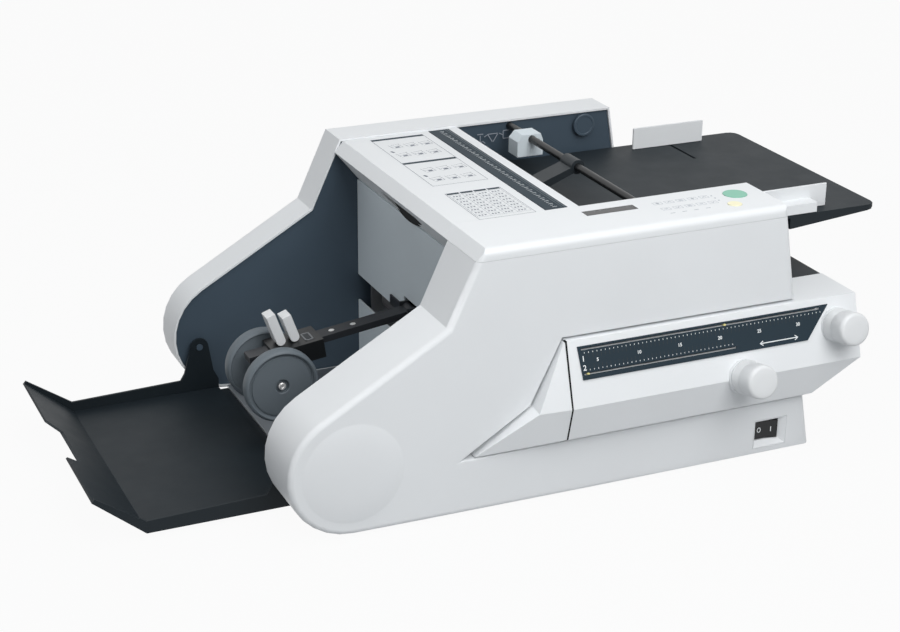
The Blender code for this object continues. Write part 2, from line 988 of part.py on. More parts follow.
rocker = prism(
    [
        (rocker_x - rocker_half, rocker_pivot_y - rocker_rise),
        (rocker_x, rocker_pivot_y - rocker_dip),
        (rocker_x + rocker_half, rocker_pivot_y - rocker_rise),
        (rocker_x + rocker_half, rocker_pivot_y),
        (rocker_x, rocker_pivot_y + rocker_back),
        (rocker_x - rocker_half, rocker_pivot_y),
    ],
    "Z",
    rocker_low_z,
    rocker_high_z,
)
tipped(rocker, "Z", -rocker_tip, rocker_x, rocker_pivot_y, rocker_low_z)
node("power_rocker", rocker, black, origin=(rocker_x, rocker_pivot_y, rocker_low_z))

# Fold plate housing: a faceted shell, open at the back, with collars for the two knobs
housing_depth_in = 0.012
collar_r = 0.020
shaft_r = 0.004
shaft_gap = 0.0004
pulley_r = 0.006
belt_wide = 0.006
belt_thick = 0.001
pulley_in = 0.0445
lower_pulley_in = 0.0430
post_in = 0.012
post_x = housing_left_x + post_in
post_r = pulley_r
post_arm = 0.0045
slot_half = 0.0012
slot_left_in = 0.0152
slot_left_x = housing_left_x + slot_left_in
upper_slot_long = 0.298
upper_slot_right_x = slot_left_x + upper_slot_long
lower_slot_long = 0.188
lower_slot_right_x = slot_left_x + lower_slot_long
upper_slot_drop = 0.0101
upper_slot_z = housing_top_z - upper_slot_drop
slot_pitch = 0.0255
lower_slot_z = upper_slot_z - slot_pitch
facet_lean = (crease_y - brow_y) / (housing_top_z - crease_z)
housing_floor_z = notch_floor_z + gap


def facet_y(z):
    """The upper facet's y at a height."""
    return brow_y + (housing_top_z - z) * facet_lean


housing_section = [
    (housing_back_y, housing_top_z),
    (brow_y, housing_top_z),
    (crease_y, crease_z),
    (chin_y, chin_z),
    (0, housing_floor_z),
    (housing_back_y, housing_floor_z),
]
slant = Vector((housing_right_x - chin_right_x, crease_z - housing_floor_z)).normalized()
slant_start = Vector((chin_right_x, housing_floor_z)) - slant * overrun
slant_end = Vector((housing_right_x, crease_z)) + slant * overrun
slant_wedge = [tuple(slant_start), (slant_end.x, slant_start.y), tuple(slant_end)]
inner_shift = Vector((-slant.y, slant.x)) * wall


def shaft_line(knob_x, knob_y, knob_z, item):
    """Tips a body that lies along Y so that it lines up with a knob's axis."""
    return tipped(item, "X", -knob_tilt, knob_x, knob_y, knob_z)


def housing_wedge(shift, front_y, back_y):
    corners = [(a + shift.x, b + shift.y) for a, b in slant_wedge]
    corners[1] = (corners[1][0] + overrun, corners[1][1] - overrun)
    return prism(corners, "Y", front_y, back_y)


knob_places = (
    (upper_knob_x, upper_knob_y, upper_knob_z, pulley_in),
    (lower_knob_x, lower_knob_y, lower_knob_z, lower_pulley_in),
)
housing = prism(housing_section, "X", housing_left_x, housing_right_x)
cut(housing, housing_wedge(Vector((0, 0)), 2 * crease_y, housing_back_y + overrun))
for knob_x, knob_y, knob_z, depth_in in knob_places:
    collar = rod(
        "Y",
        knob_x,
        knob_z,
        collar_r,
        knob_y - knob_proud,
        knob_y + housing_depth_in,
        2 * small_sides,
    )
    join(housing, shaft_line(knob_x, knob_y, knob_z, collar))
hollow = prism(
    [
        (housing_back_y + overrun, housing_top_z - wall),
        (brow_y + wall, housing_top_z - wall),
        (crease_y + wall, crease_z),
        (chin_y + wall, chin_z + wall),
        (wall, housing_floor_z + wall),
        (housing_back_y + overrun, housing_floor_z + wall),
    ],
    "X",
    housing_left_x + wall,
    housing_right_x - wall,
)
cut(hollow, housing_wedge(inner_shift, 2 * crease_y, housing_back_y + 2 * overrun))
cut(housing, hollow)
cut(
    housing,
    box(
        slot_left_x,
        upper_slot_right_x,
        crease_y,
        0,
        upper_slot_z - slot_half,
        upper_slot_z + slot_half,
    ),
    box(
        slot_left_x,
        lower_slot_right_x,
        crease_y,
        0,
        lower_slot_z - slot_half,
        lower_slot_z + slot_half,
    ),
)
for knob_x, knob_y, knob_z, depth_in in knob_places:
    bore = rod(
        "Y",
        knob_x,
        knob_z,
        shaft_r + shaft_gap,
        knob_y - overrun,
        knob_y + 2 * housing_depth_in,
        small_sides,
    )
    cut(housing, shaft_line(knob_x, knob_y, knob_z, bore))
    post = rod("Y", post_x, knob_z, post_r, knob_y + depth_in - post_arm, knob_y + depth_in + belt_wide)
    arm = box(
        housing_left_x + wall / 2,
        post_x,
        knob_y + depth_in - 2 * post_arm,
        knob_y + depth_in - gap,
        knob_z - post_arm,
        knob_z + post_arm,
    )
    join(post, arm)
    join(housing, shaft_line(knob_x, knob_y, knob_z, post))
node("fold_plate_housing", housing, white)

# Fairing that leads the near cover into the housing
fairing_base_x = 0.0310
fairing_mid_x = 0.0985
fairing_mid_z = 0.1105
fairing_nose_x = 0.0970
fairing_nose_y = -0.018
fairing_nose_z = 0.108
fairing_top_x = 0.1303
fairing_top_y = -0.003
fairing_top_z = 0.1785
fairing_depth = 0.012
fairing_right_x = housing_left_x - gap
fairing_tip_share = 0.3
fairing_tip_z = housing_floor_z + fairing_tip_share * edge_round
fairing_points = {
    "top_front": (fairing_top_x, fairing_top_y, fairing_top_z),
    "top_back": (fairing_top_x, fairing_depth, fairing_top_z),
    "mid_back": (fairing_mid_x, fairing_depth, fairing_mid_z),
    "tip_front": (fairing_base_x, 0, fairing_tip_z),
    "tip_back": (fairing_base_x, fairing_depth, fairing_tip_z),
    "foot_front": (fairing_right_x, 0, housing_floor_z),
    "foot_back": (fairing_right_x, fairing_depth, housing_floor_z),
    "chin": (fairing_right_x, chin_y, chin_z),
    "crease": (fairing_right_x, crease_y, crease_z),
    "nose": (fairing_nose_x, fairing_nose_y, fairing_nose_z),
    "brow_front": (fairing_right_x, brow_y, fairing_top_z),
    "brow_back": (fairing_right_x, fairing_depth, fairing_top_z),
}
fairing_faces = (
    "top_back mid_back tip_back foot_back brow_back",
    "top_front brow_front brow_back top_back",
    "brow_front crease chin foot_front foot_back brow_back",
    "top_front nose crease brow_front",
    "nose tip_front chin crease",
    "top_front top_back mid_back nose",
    "nose mid_back tip_back tip_front",
    "tip_front foot_front chin",
    "tip_front tip_back foot_back foot_front",
)
fairing_data = bmesh.new()
fairing_verts = {name: fairing_data.verts.new(point) for name, point in fairing_points.items()}
for face in fairing_faces:
    fairing_data.faces.new([fairing_verts[name] for name in face.split()])
node("corner_fairing", body(fairing_data), white, smooth_angle=5)

# Scale plate on the upper facet, with a slot for each pointer
scale_thick = 0.0010
scale_top_drop = 0.007
scale_high_z = housing_top_z - scale_top_drop
scale_high = 0.0345
scale_low_z = scale_high_z - scale_high
scale_left_in = 0.0117
scale_left_x = housing_left_x + scale_left_in
scale_left_slant = 0.0034
scale_low_left_x = scale_left_x + scale_left_slant
scale_right_in = 0.0385
scale_right_x = housing_right_x - scale_right_in
scale_right_slant = 0.0295
scale_low_right_x = scale_right_x - scale_right_slant
scale_outline = [
    (scale_low_left_x, scale_low_z),
    (scale_low_right_x, scale_low_z),
    (scale_right_x, scale_high_z),
    (scale_left_x, scale_high_z),
]
scale_plate = prism(scale_outline, "Y", 2 * crease_y, -brow_y)
facet_normal_y = hypot(1, facet_lean)
scale_slab = []
for out in (gap, gap + scale_thick):
    for z in (crease_z, housing_top_z):
        scale_slab.append((facet_y(z) - out * facet_normal_y, z))
scale_slab = [scale_slab[0], scale_slab[1], scale_slab[3], scale_slab[2]]
common(scale_plate, prism(scale_slab, "X", scale_left_x - overrun, scale_right_x + overrun))
slot_pad = slot_left_x - scale_left_x
cut(
    scale_plate,
    box(
        slot_left_x + gap,
        upper_slot_right_x - gap,
        2 * crease_y,
        -brow_y,
        upper_slot_z - slot_half,
        upper_slot_z + slot_half,
    ),
    box(
        slot_left_x + slot_pad / 2,
        lower_slot_right_x - gap,
        2 * crease_y,
        -brow_y,
        lower_slot_z - slot_half,
        lower_slot_z + slot_half,
    ),
)
node("scale_plate", scale_plate, slate)

# Fold stops: a bar in each fold plate, a clamp on the belt and a pointer in the scale's slot
channel_thick = 0.0060
plate_skin = 0.0025
upper_plate_drop = 0.012
upper_plate_z = housing_top_z - upper_plate_drop
plate_pitch = 0.033
lower_plate_z = upper_plate_z - plate_pitch
plate_start = 0.0185
plate_left_x = roller_x + plate_start
upper_plate_right_x = housing_right_x
lower_plate_right_x = 0.425
plate_near_y = housing_back_y + gap
plate_far_y = far_frame_y - gap
stop_wide = 0.005
stop_clear = 0.0007
stop_end = 0.006
clamp_wide = 0.010
clamp_thick = 0.008
clamp_rear_in = 0.0055
clamp_rear_y = housing_back_y - clamp_rear_in
clamp_riser = 0.004
belt_top = pulley_r + gap + belt_thick
belt_lift = belt_top * cos(knob_tilt) + belt_wide * sin(knob_tilt)
upper_stop_along = 0.1755
upper_stop_x = slot_left_x + upper_stop_along
lower_stop_along = 0.0063
lower_stop_x = slot_left_x + lower_stop_along
pointer_wide = 0.003
pointer_thick = 0.0016
pointer_proud = 0.0006


def belt_centre(knob_y, knob_z, depth_in):
    """The middle of the belt's section plane, in Y and Z, after the tilt."""
    reach_in = depth_in + belt_wide / 2
    return knob_y + reach_in * cos(knob_tilt), knob_z - reach_in * sin(knob_tilt)


upper_belt_y, upper_belt_z = belt_centre(upper_knob_y, upper_knob_z, pulley_in)
lower_belt_y, lower_belt_z = belt_centre(lower_knob_y, lower_knob_z, lower_pulley_in)
upper_bar_z = upper_plate_z + plate_skin + stop_clear
lower_bar_z = lower_plate_z + plate_skin + stop_clear
bar_high = channel_thick - 2 * stop_clear
bar_far_y = plate_far_y - plate_skin - stop_end

stop_left_x = upper_stop_x - stop_wide / 2
upper_stop = box(
    stop_left_x,
    stop_left_x + stop_wide,
    clamp_rear_y - clamp_riser,
    bar_far_y,
    upper_bar_z,
    upper_bar_z + bar_high,
)
upper_clamp_y = upper_belt_y - belt_wide
upper_clamp = box(
    upper_stop_x - clamp_wide / 2,
    upper_stop_x + clamp_wide / 2,
    upper_clamp_y,
    clamp_rear_y,
    upper_belt_z + belt_lift + gap,
    upper_bar_z + bar_high / 2,
)
join(upper_stop, upper_clamp)
node("fold_stop_upper", upper_stop, steel, origin=(upper_stop_x, upper_belt_y, upper_belt_z))

stop_left_x = lower_stop_x - stop_wide / 2
lower_stop = box(
    stop_left_x,
    stop_left_x + stop_wide,
    clamp_rear_y - clamp_riser,
    bar_far_y,
    lower_bar_z,
    lower_bar_z + bar_high,
)
lower_floor_z = lower_belt_z + belt_lift + gap
lower_front_y = lower_belt_y - belt_wide
lower_left_x = lower_stop_x - clamp_wide / 2
lower_right_x = lower_stop_x + clamp_wide / 2
join(
    lower_stop,
    box(
        lower_left_x,
        lower_right_x,
        clamp_rear_y - 2 * clamp_riser,
        clamp_rear_y,
        lower_floor_z,
        lower_bar_z + bar_high / 2,
    ),
    box(
        lower_left_x,
        lower_right_x,
        lower_front_y,
        clamp_rear_y - clamp_riser,
        lower_floor_z,
        lower_floor_z + clamp_thick,
    ),
    box(
        lower_left_x,
        lower_right_x,
        lower_front_y,
        lower_front_y + clamp_riser,
        lower_floor_z + clamp_thick / 2,
        lower_slot_z + pointer_thick,
    ),
)
node("fold_stop_lower", lower_stop, steel, origin=(lower_stop_x, lower_belt_y, lower_belt_z))

scale_out = (gap + scale_thick + pointer_proud) * facet_normal_y
for name, stop_x_now, slot_z, back_y in (
    ("pointer_upper", upper_stop_x, upper_slot_z, upper_clamp_y),
    ("pointer_lower", lower_stop_x, lower_slot_z, lower_front_y),
):
    pointer = box(
        stop_x_now - pointer_wide / 2,
        stop_x_now + pointer_wide / 2,
        facet_y(slot_z) - scale_out,
        back_y - gap,
        slot_z - pointer_thick / 2,
        slot_z + pointer_thick / 2,
    )
    node(name, pointer, pointer_yellow, origin=(stop_x_now, back_y, slot_z))

# Knobs, their shafts with pulleys, and the belts that draw the stops along
shaft_back = 0.0035
knob_base_r = 0.0195
knob_neck_r = 0.0175
knob_base_long = 0.012
knob_neck_long = 0.004
knob_bore_deep = 0.012
pulley_end = 0.0004
for name, belt_name, shaft_name, place in (
    ("knob_upper", "belt_upper", "knob_shaft_upper", knob_places[0]),
    ("knob_lower", "belt_lower", "knob_shaft_lower", knob_places[1]),
):
    knob_x, knob_y, knob_z, depth_in = place
    knob_start = knob_proud + gap
    knob_end = knob_start + knob_length
    knob = turned(
        [
            (0, -knob_end),
            (knob_cap_r - knob_cap_round, -knob_end),
            (knob_cap_r, -knob_end + knob_cap_round),
            (knob_cap_r, -knob_start - knob_base_long - knob_neck_long),
            (knob_neck_r, -knob_start - knob_base_long),
            (knob_base_r, -knob_start),
            (0, -knob_start),
        ],
        sides=2 * small_sides,
    )
    along_y(knob, knob_x, knob_y, knob_z)
    cut(
        knob,
        rod(
            "Y",
            knob_x,
            knob_z,
            shaft_r + gap,
            knob_y - knob_start - knob_bore_deep,
            knob_y,
            small_sides,
        ),
    )
    shaft_line(knob_x, knob_y, knob_z, knob)
    node(name, knob, knob_white, origin=(knob_x, knob_y, knob_z))
    pulley_y = knob_y + depth_in
    shaft = rod(
        "Y",
        knob_x,
        knob_z,
        shaft_r,
        knob_y - knob_start - knob_bore_deep + gap,
        pulley_y + belt_wide / 2,
        small_sides,
    )
    join(
        shaft,
        rod("Y", knob_x, knob_z, pulley_r, pulley_y - pulley_end, pulley_y + belt_wide + shaft_back),
    )
    shaft_line(knob_x, knob_y, knob_z, shaft)
    node(shaft_name, shaft, steel, origin=(knob_x, knob_y, knob_z))
    half_turn = small_sides
    loops = []
    for radius in (belt_top, pulley_r + gap):
        loop = arc(post_x, knob_z, radius, pi / 2, 1.5 * pi, half_turn)
        loop += arc(knob_x, knob_z, radius, -pi / 2, pi / 2, half_turn)
        loops.append(loop)
    belt = prism(loops[0], "Y", pulley_y, pulley_y + belt_wide)
    cut(belt, prism(loops[1], "Y", pulley_y - overrun, pulley_y + belt_wide + overrun))
    shaft_line(knob_x, knob_y, knob_z, belt)
    node(belt_name, belt, rubber, origin=(knob_x, knob_y, knob_z))

# Fold plates: two sheets with a channel between them, open to the rollers and to the near side
for name, low_z, right_x in (
    ("fold_plate_upper", upper_plate_z, upper_plate_right_x),
    ("fold_plate_lower", lower_plate_z, lower_plate_right_x),
):
    plate = box(
        plate_left_x,
        right_x,
        plate_near_y,
        plate_far_y,
        low_z,
        low_z + channel_thick + 2 * plate_skin,
    )
    channel = box(
        plate_left_x - overrun,
        right_x - plate_skin,
        plate_near_y - overrun,
        plate_far_y - plate_skin,
        low_z + plate_skin,
        low_z + plate_skin + channel_thick,
    )
    corner = box(
        plate_left_x - overrun,
        notch_left_x + gap,
        plate_near_y - overrun,
        front_depth + gap,
        low_z - overrun,
        low_z + channel_thick + overrun,
    )
    cut(plate, channel, corner)
    node(name, plate, tray_black)

# Fold rollers, each with its drive disc on the far side, and the feed roller
disc_near_y = far_frame_y + frame_thick + drive_disc_gap
disc_far_y = disc_near_y + drive_disc_thick
journal_near_y = near_frame_y - journal_end
for number, (place_x, place_z) in enumerate(roller_places, 1):
    roller = turned(
        [
            (0, 0),
            (journal_r, 0),
            (journal_r, journal_end + roller_end - frame_set),
            (roller_r, journal_end + roller_end - frame_set),
            (roller_r, plate_far_y - journal_near_y - (roller_end - frame_set)),
            (journal_r, plate_far_y - journal_near_y - (roller_end - frame_set)),
            (journal_r, disc_near_y - journal_near_y),
            (roller_r, disc_near_y - journal_near_y),
            (roller_r, disc_far_y - journal_near_y),
            (0, disc_far_y - journal_near_y),
        ],
        sides=20,
    )
    along_y(roller, place_x, journal_near_y, place_z)
    node(f"fold_roller_{number}", roller, roller_grey, origin=(place_x, centre_y, place_z))
feed_roller = turned(
    [
        (0, 0),
        (journal_r, 0),
        (journal_r, feed_end),
        (feed_r, feed_end),
        (feed_r, disc_far_y - journal_near_y - feed_end),
        (journal_r, disc_far_y - journal_near_y - feed_end),
        (journal_r, disc_far_y - journal_near_y),
        (0, disc_far_y - journal_near_y),
    ]
)
along_y(feed_roller, feed_x, journal_near_y, feed_z)
node("feed_roller", feed_roller, rubber, origin=(feed_x, centre_y, feed_z))

# Drive motor, seated in the far side frame, its shaft towards the cover
motor = turned(
    [
        (0, 0),
        (motor_r, 0),
        (motor_r, motor_length),
        (motor_boss_r, motor_length),
        (motor_boss_r, motor_length + frame_thick),
        (motor_shaft_r, motor_length + frame_thick),
        (motor_shaft_r, motor_length + frame_thick + drive_disc_gap + drive_disc_thick),
        (0, motor_length + frame_thick + drive_disc_gap + drive_disc_thick),
    ]
)
along_y(motor, motor_x, far_frame_y - gap - motor_length, motor_z)
node("drive_motor", motor, zinc, origin=(motor_x, far_frame_y, motor_z))

# Feed table between the covers, hollow underneath, with a slot for each side guide
table_left_x = 0.203
table_thick = 0.003
table_side_gap = 0.0097
table_margin = 0.001
table_deep_back = 0.118
table_deep_x = table_right_x - table_deep_back
table_rim_high = 0.016
table_end_high = 0.006
table_wall = 0.003
table_corner = 0.012
guide_left_back = 0.160
guide_left_x = table_right_x - guide_left_back
guide_long = 0.100
guide_right_x = guide_left_x + guide_long
guide_thick = 0.003
guide_high = 0.027
guide_foot_left_in = 0.030
guide_foot_left_x = guide_left_x + guide_foot_left_in
guide_foot_right_in = 0.022
guide_foot_right_x = guide_right_x - guide_foot_right_in
peg_x = (guide_foot_left_x + guide_foot_right_x) / 2
guide_foot_wide = 0.016
guide_foot_high = 0.012
guide_travel = 0.070
peg_r = 0.0013
peg_below = 0.002
peg_gap = 0.0004
table_plate_z = frame_top_z + gap
table_half = throat / 2 - table_side_gap
guide_half = table_half - guide_foot_wide - guide_thick - table_margin
table_top_z = table_plate_z + table_thick
table_low_z = table_top_z - table_rim_high
table_end_z = table_top_z - table_end_high
table_near_y = centre_y - table_half
table_far_y = centre_y + table_half
table = prism(
    [
        (table_left_x, table_plate_z),
        (table_deep_x, table_plate_z),
        (table_deep_x, table_low_z),
        (table_deep_x + table_wall, table_low_z),
        (table_right_x, table_end_z),
        (table_right_x, table_top_z),
        (table_left_x, table_top_z),
    ],
    "Y",
    table_near_y,
    table_far_y,
)
common(
    table,
    prism(
        rounded(
            table_left_x - 2 * table_corner, table_right_x, table_near_y, table_far_y, table_corner
        ),
        "Z",
        table_low_z - overrun,
        table_top_z + overrun,
    ),
)
cut(
    table,
    box(
        table_deep_x + table_wall,
        table_right_x - table_wall,
        table_near_y + table_wall,
        table_far_y - table_wall,
        table_low_z - overrun,
        table_plate_z,
    ),
)
guide_y = guide_half + guide_thick + guide_foot_wide / 2
slot_wide = peg_r + peg_gap
for side in (-1, 1):
    slot_outer = centre_y + side * (guide_y + slot_wide)
    slot_inner = centre_y + side * (guide_y - guide_travel - slot_wide)
    cut(
        table,
        box(
            peg_x - slot_wide,
            peg_x + slot_wide,
            min(slot_outer, slot_inner),
            max(slot_outer, slot_inner),
            table_plate_z - overrun,
            table_top_z + overrun,
        ),
    )
node("feed_table", table, tray_black)

# Side guides: a rail, its foot and a peg through the table's slot
for name, side in (("side_guide_near", -1), ("side_guide_far", 1)):
    rail_in = centre_y + side * guide_half
    rail_out = centre_y + side * (guide_half + guide_thick)
    foot_out = centre_y + side * (guide_half + guide_thick + guide_foot_wide)
    guide_z = table_top_z + gap
    guide = box(
        guide_left_x,
        guide_right_x,
        min(rail_in, rail_out),
        max(rail_in, rail_out),
        guide_z,
        guide_z + guide_high,
    )
    guide_foot = box(
        guide_foot_left_x,
        guide_foot_right_x,
        min((rail_in + rail_out) / 2, foot_out),
        max((rail_in + rail_out) / 2, foot_out),
        guide_z,
        guide_z + guide_foot_high,
    )
    peg = rod(
        "Z",
        peg_x,
        centre_y + side * guide_y,
        peg_r,
        table_plate_z - peg_below,
        guide_z + guide_foot_high / 2,
        small_sides,
    )
    join(guide, guide_foot, peg)
    node(name, guide, white, origin=(peg_x, centre_y + side * guide_y, table_top_z))

# Cross shaft over the feed table, with the separator arm and the hold-down block on it
cross_x = 0.262
cross_drop = 0.0066
cross_z = roof_top_z - cross_drop
cross_r = 0.0045
cross_gap = 0.0003
separator_half = 0.014
separator_hub_r = 0.0085
separator_tip_x = 0.172
separator_pad_x = 0.184
separator_tip_high = 0.0055
separator_neck_x = 0.258
separator_neck_drop = 0.0065
separator_neck_rise = 0.0015
separator_neck_low_z = cross_z - separator_neck_drop
separator_neck_high_z = cross_z + separator_neck_rise
separator_back_x = 0.176
separator_back_drop = 0.028
separator_back_z = cross_z - separator_back_drop
separator_pad_z = feed_z + feed_r + 2 * gap
hold_near_back = 0.0608
hold_near_y = rear_inner - hold_near_back
hold_wide = 0.025
hold_far_y = hold_near_y + hold_wide
hold_left_x = 0.243
hold_right_x = 0.277
hold_hang = 0.021
hold_side_drop = 0.002
hold_cap = 0.0015
hold_low_z = cross_z - hold_hang
hold_side_z = cross_z - hold_side_drop
hold_top_z = cross_z + cross_r + hold_cap
hold_top_share = 0.35
cross_shaft = rod(
    "Y", cross_x, cross_z, cross_r, panel_depth + gap, rear_liner_y - gap, small_sides
)
node("cross_shaft", cross_shaft, black, origin=(cross_x, centre_y, cross_z))
separator = prism(
    [
        (separator_tip_x, separator_pad_z),
        (separator_pad_x, separator_pad_z),
        (separator_neck_x, separator_neck_low_z),
        (separator_neck_x, separator_neck_high_z),
        (separator_back_x, separator_back_z),
        (separator_tip_x, separator_pad_z + separator_tip_high),
    ],
    "Y",
    centre_y - separator_half,
    centre_y + separator_half,
)
hub = rod(
    "Y",
    cross_x,
    cross_z,
    separator_hub_r,
    centre_y - separator_half - gap,
    centre_y + separator_half + gap,
)
join(separator, hub)
cut(
    separator,
    rod(
        "Y",
        cross_x,
        cross_z,
        cross_r + cross_gap,
        centre_y - separator_half - overrun,
        centre_y + separator_half + overrun,
        small_sides,
    ),
)
node("separator_arm", separator, arm_grey, origin=(cross_x, centre_y, cross_z))
hold_top_in = (hold_right_x - hold_left_x) * hold_top_share
hold_block = prism(
    [
        (hold_left_x, hold_low_z),
        (hold_right_x, hold_low_z),
        (hold_right_x, hold_side_z),
        (cross_x + hold_top_in, hold_top_z),
        (cross_x - hold_top_in, hold_top_z),
        (hold_left_x, hold_side_z),
    ],
    "Y",
    hold_near_y,
    hold_far_y,
)
cut(
    hold_block,
    rod(
        "Y",
        cross_x,
        cross_z,
        cross_r + cross_gap,
        hold_near_y - overrun,
        hold_far_y + overrun,
        small_sides,
    ),
)
node("hold_down_block", hold_block, exit_grey, origin=(cross_x, centre_y, cross_z))

# Delivery tray: floor, raised end with a notch, side walls and the ears it hangs on
tray_thick = 0.0025
tray_low_z = 0.004
tray_heel = 0.022
tray_right_x = tray_hinge_x + tray_heel
end_run = 0.055
tray_bend_x = tray_end_x + end_run
tray_end_high = 0.046
tray_end_z = tray_low_z + tray_end_high
tray_wall_low_high = 0.014
tray_wall_low_z = tray_low_z + tray_wall_low_high
tray_wall_rise = 0.004
tray_wall_high_z = tray_wall_low_z + tray_wall_rise
tray_wall_back = 0.025
tray_wall_right_x = tray_hinge_x - tray_wall_back
ear_r = 0.011
ear_root_left = 0.020
ear_root_left_x = tray_hinge_x - ear_root_left
ear_root_right = 0.016
ear_root_right_x = tray_hinge_x + ear_root_right
ear_root_high = 0.008
ear_root_z = tray_wall_high_z + ear_root_high
tray_notch_half = 0.041
tray_notch_slant = 0.013
tray_notch_deep = 0.012
tray_notch_z = tray_end_z - tray_notch_deep
tray_notch_high = 0.020
end_rise = tray_end_z - tray_low_z
end_long = hypot(end_run, end_rise)
lip_x = tray_thick * end_rise / end_long
lip_z = tray_thick * end_run / end_long
bend_shift = tray_thick * tan(atan2(end_rise, end_run) / 2)
tray = prism(
    [
        (tray_right_x, tray_low_z),
        (tray_right_x, tray_low_z + tray_thick),
        (tray_bend_x + bend_shift, tray_low_z + tray_thick),
        (tray_end_x + lip_x, tray_end_z + lip_z),
        (tray_end_x, tray_end_z),
        (tray_bend_x, tray_low_z),
    ],
    "Y",
    tray_near_y,
    tray_far_y,
)
cut(
    tray,
    prism(
        [
            (centre_y - tray_notch_half, tray_notch_z),
            (centre_y + tray_notch_half, tray_notch_z),
            (centre_y + tray_notch_half + tray_notch_slant, tray_notch_z + tray_notch_high),
            (centre_y - tray_notch_half - tray_notch_slant, tray_notch_z + tray_notch_high),
        ],
        "X",
        tray_end_x - overrun,
        tray_bend_x,
    ),
)
wall_outline = [
    (tray_right_x, tray_low_z),
    (tray_right_x, tray_wall_low_z),
    (ear_root_right_x, ear_root_z),
]
wall_outline += arc(tray_hinge_x, tray_hinge_z, ear_r, 0, pi, nose_steps)
wall_outline += [
    (ear_root_left_x, ear_root_z),
    (tray_wall_right_x, tray_wall_high_z),
    (tray_bend_x, tray_wall_low_z),
    (tray_end_x + 2 * lip_x, tray_end_z + 2 * lip_z),
    (tray_end_x, tray_end_z),
    (tray_bend_x, tray_low_z),
]
join(
    tray,
    prism(wall_outline, "Y", tray_near_y, tray_near_y + ear_thick),
    prism(wall_outline, "Y", tray_far_y - ear_thick, tray_far_y),
)
cut(
    tray,
    rod(
        "Y",
        tray_hinge_x,
        tray_hinge_z,
        stud_r + gap,
        tray_near_y - overrun,
        tray_far_y + overrun,
    ),
)
node("delivery_tray", tray, tray_black, origin=(tray_hinge_x, centre_y, tray_hinge_z))

# Arm bracket on the exit panel, with the pin that the arm swings on
arm_pivot_out = 0.0025
arm_pivot_x = exit_x - arm_pivot_out
arm_pivot_z = 0.136
arm_slope = radians(7.8)
bar_half = 0.010
bar_thick = 0.008
bar_long = 0.198
knuckle_r = 0.006
arm_pin_r = 0.0025
cheek_gap = 0.0004
cheek_thick = 0.003
cheek_left = 0.008
cheek_left_x = arm_pivot_x - cheek_left
cheek_right = 0.017
cheek_right_x = arm_pivot_x + cheek_right
cheek_below = 0.008
cheek_low_z = arm_pivot_z - cheek_below
cheek_above = 0.0075
cheek_high_z = arm_pivot_z + cheek_above
web_thick = 0.004
tab_thick = 0.0023
tab_far_y = 0.300
tab_drop = 0.006
tab_low_z = cheek_low_z - tab_drop
tab_high = 0.012
tab_high_z = tab_low_z + tab_high
cheek_in = bar_half + cheek_gap
cheek_out = cheek_in + cheek_thick
bracket = box(
    cheek_right_x - web_thick,
    cheek_right_x,
    arm_y - cheek_out,
    arm_y + cheek_out,
    cheek_low_z,
    cheek_high_z,
)
for side in (-1, 1):
    edges = sorted((arm_y + side * cheek_in, arm_y + side * cheek_out))
    join(
        bracket,
        box(cheek_left_x, cheek_right_x - web_thick / 2, *edges, cheek_low_z, cheek_high_z),
    )
join(
    bracket,
    rod(
        "Y",
        arm_pivot_x,
        arm_pivot_z,
        arm_pin_r,
        arm_y - cheek_in - cheek_thick / 2,
        arm_y + cheek_in + cheek_thick / 2,
        small_sides,
    ),
    box(
        exit_x - gap - tab_thick,
        exit_x - gap,
        arm_y + cheek_in + cheek_thick / 2,
        tab_far_y,
        tab_low_z,
        tab_high_z,
    ),
)
node("arm_bracket", bracket, arm_grey)


def on_arm(item):
    """Tips a body made for a level arm to the arm's slope."""
    return tipped(item, "Y", -arm_slope, arm_pivot_x, arm_y, arm_pivot_z)


def arm_point(x, z):
    """Where a point of the level arm lies once the arm slopes."""
    a = x - arm_pivot_x
    b = z - arm_pivot_z
    return (
        arm_pivot_x + a * cos(arm_slope) - b * sin(arm_slope),
        arm_pivot_z + a * sin(arm_slope) + b * cos(arm_slope),
    )


arm = box(
    arm_pivot_x - bar_long,
    arm_pivot_x,
    arm_y - bar_half,
    arm_y + bar_half,
    arm_pivot_z - bar_thick / 2,
    arm_pivot_z + bar_thick / 2,
)
join(
    arm,
    rod("Y", arm_pivot_x, arm_pivot_z, knuckle_r, arm_y - bar_half, arm_y + bar_half),
)
cut(
    arm,
    rod(
        "Y",
        arm_pivot_x,
        arm_pivot_z,
        arm_pin_r + gap,
        arm_y - bar_half - overrun,
        arm_y + bar_half + overrun,
        small_sides,
    ),
)
node("roller_arm", on_arm(arm), arm_grey, origin=(arm_pivot_x, arm_y, arm_pivot_z))

# Carriage that slides along the arm, with two lugs for the wheel axle
carriage_out = 0.113
carriage_right_x = arm_pivot_x - carriage_out
carriage_long = 0.059
carriage_left_x = carriage_right_x - carriage_long
carriage_half = 0.021
carriage_low = 0.016
carriage_high = 0.0065
lug_thick = 0.005
axle_out = 0.0018
axle_x = carriage_left_x - axle_out
axle_drop = 0.0272
axle_z = arm_pivot_z - axle_drop
axle_r = 0.003
lug_r = 0.0072
lug_root_left_x = carriage_left_x
lug_root_wide = 0.029
lug_root_right_x = carriage_left_x + lug_root_wide
lug_root_drop = 0.001
lug_root_z = arm_pivot_z - lug_root_drop
lug_base_drop = 0.014
lug_base_z = arm_pivot_z - lug_base_drop
slide_gap = 0.0004
carriage = box(
    carriage_left_x,
    carriage_right_x,
    arm_y - carriage_half,
    arm_y + carriage_half,
    arm_pivot_z - carriage_low,
    arm_pivot_z + carriage_high,
)
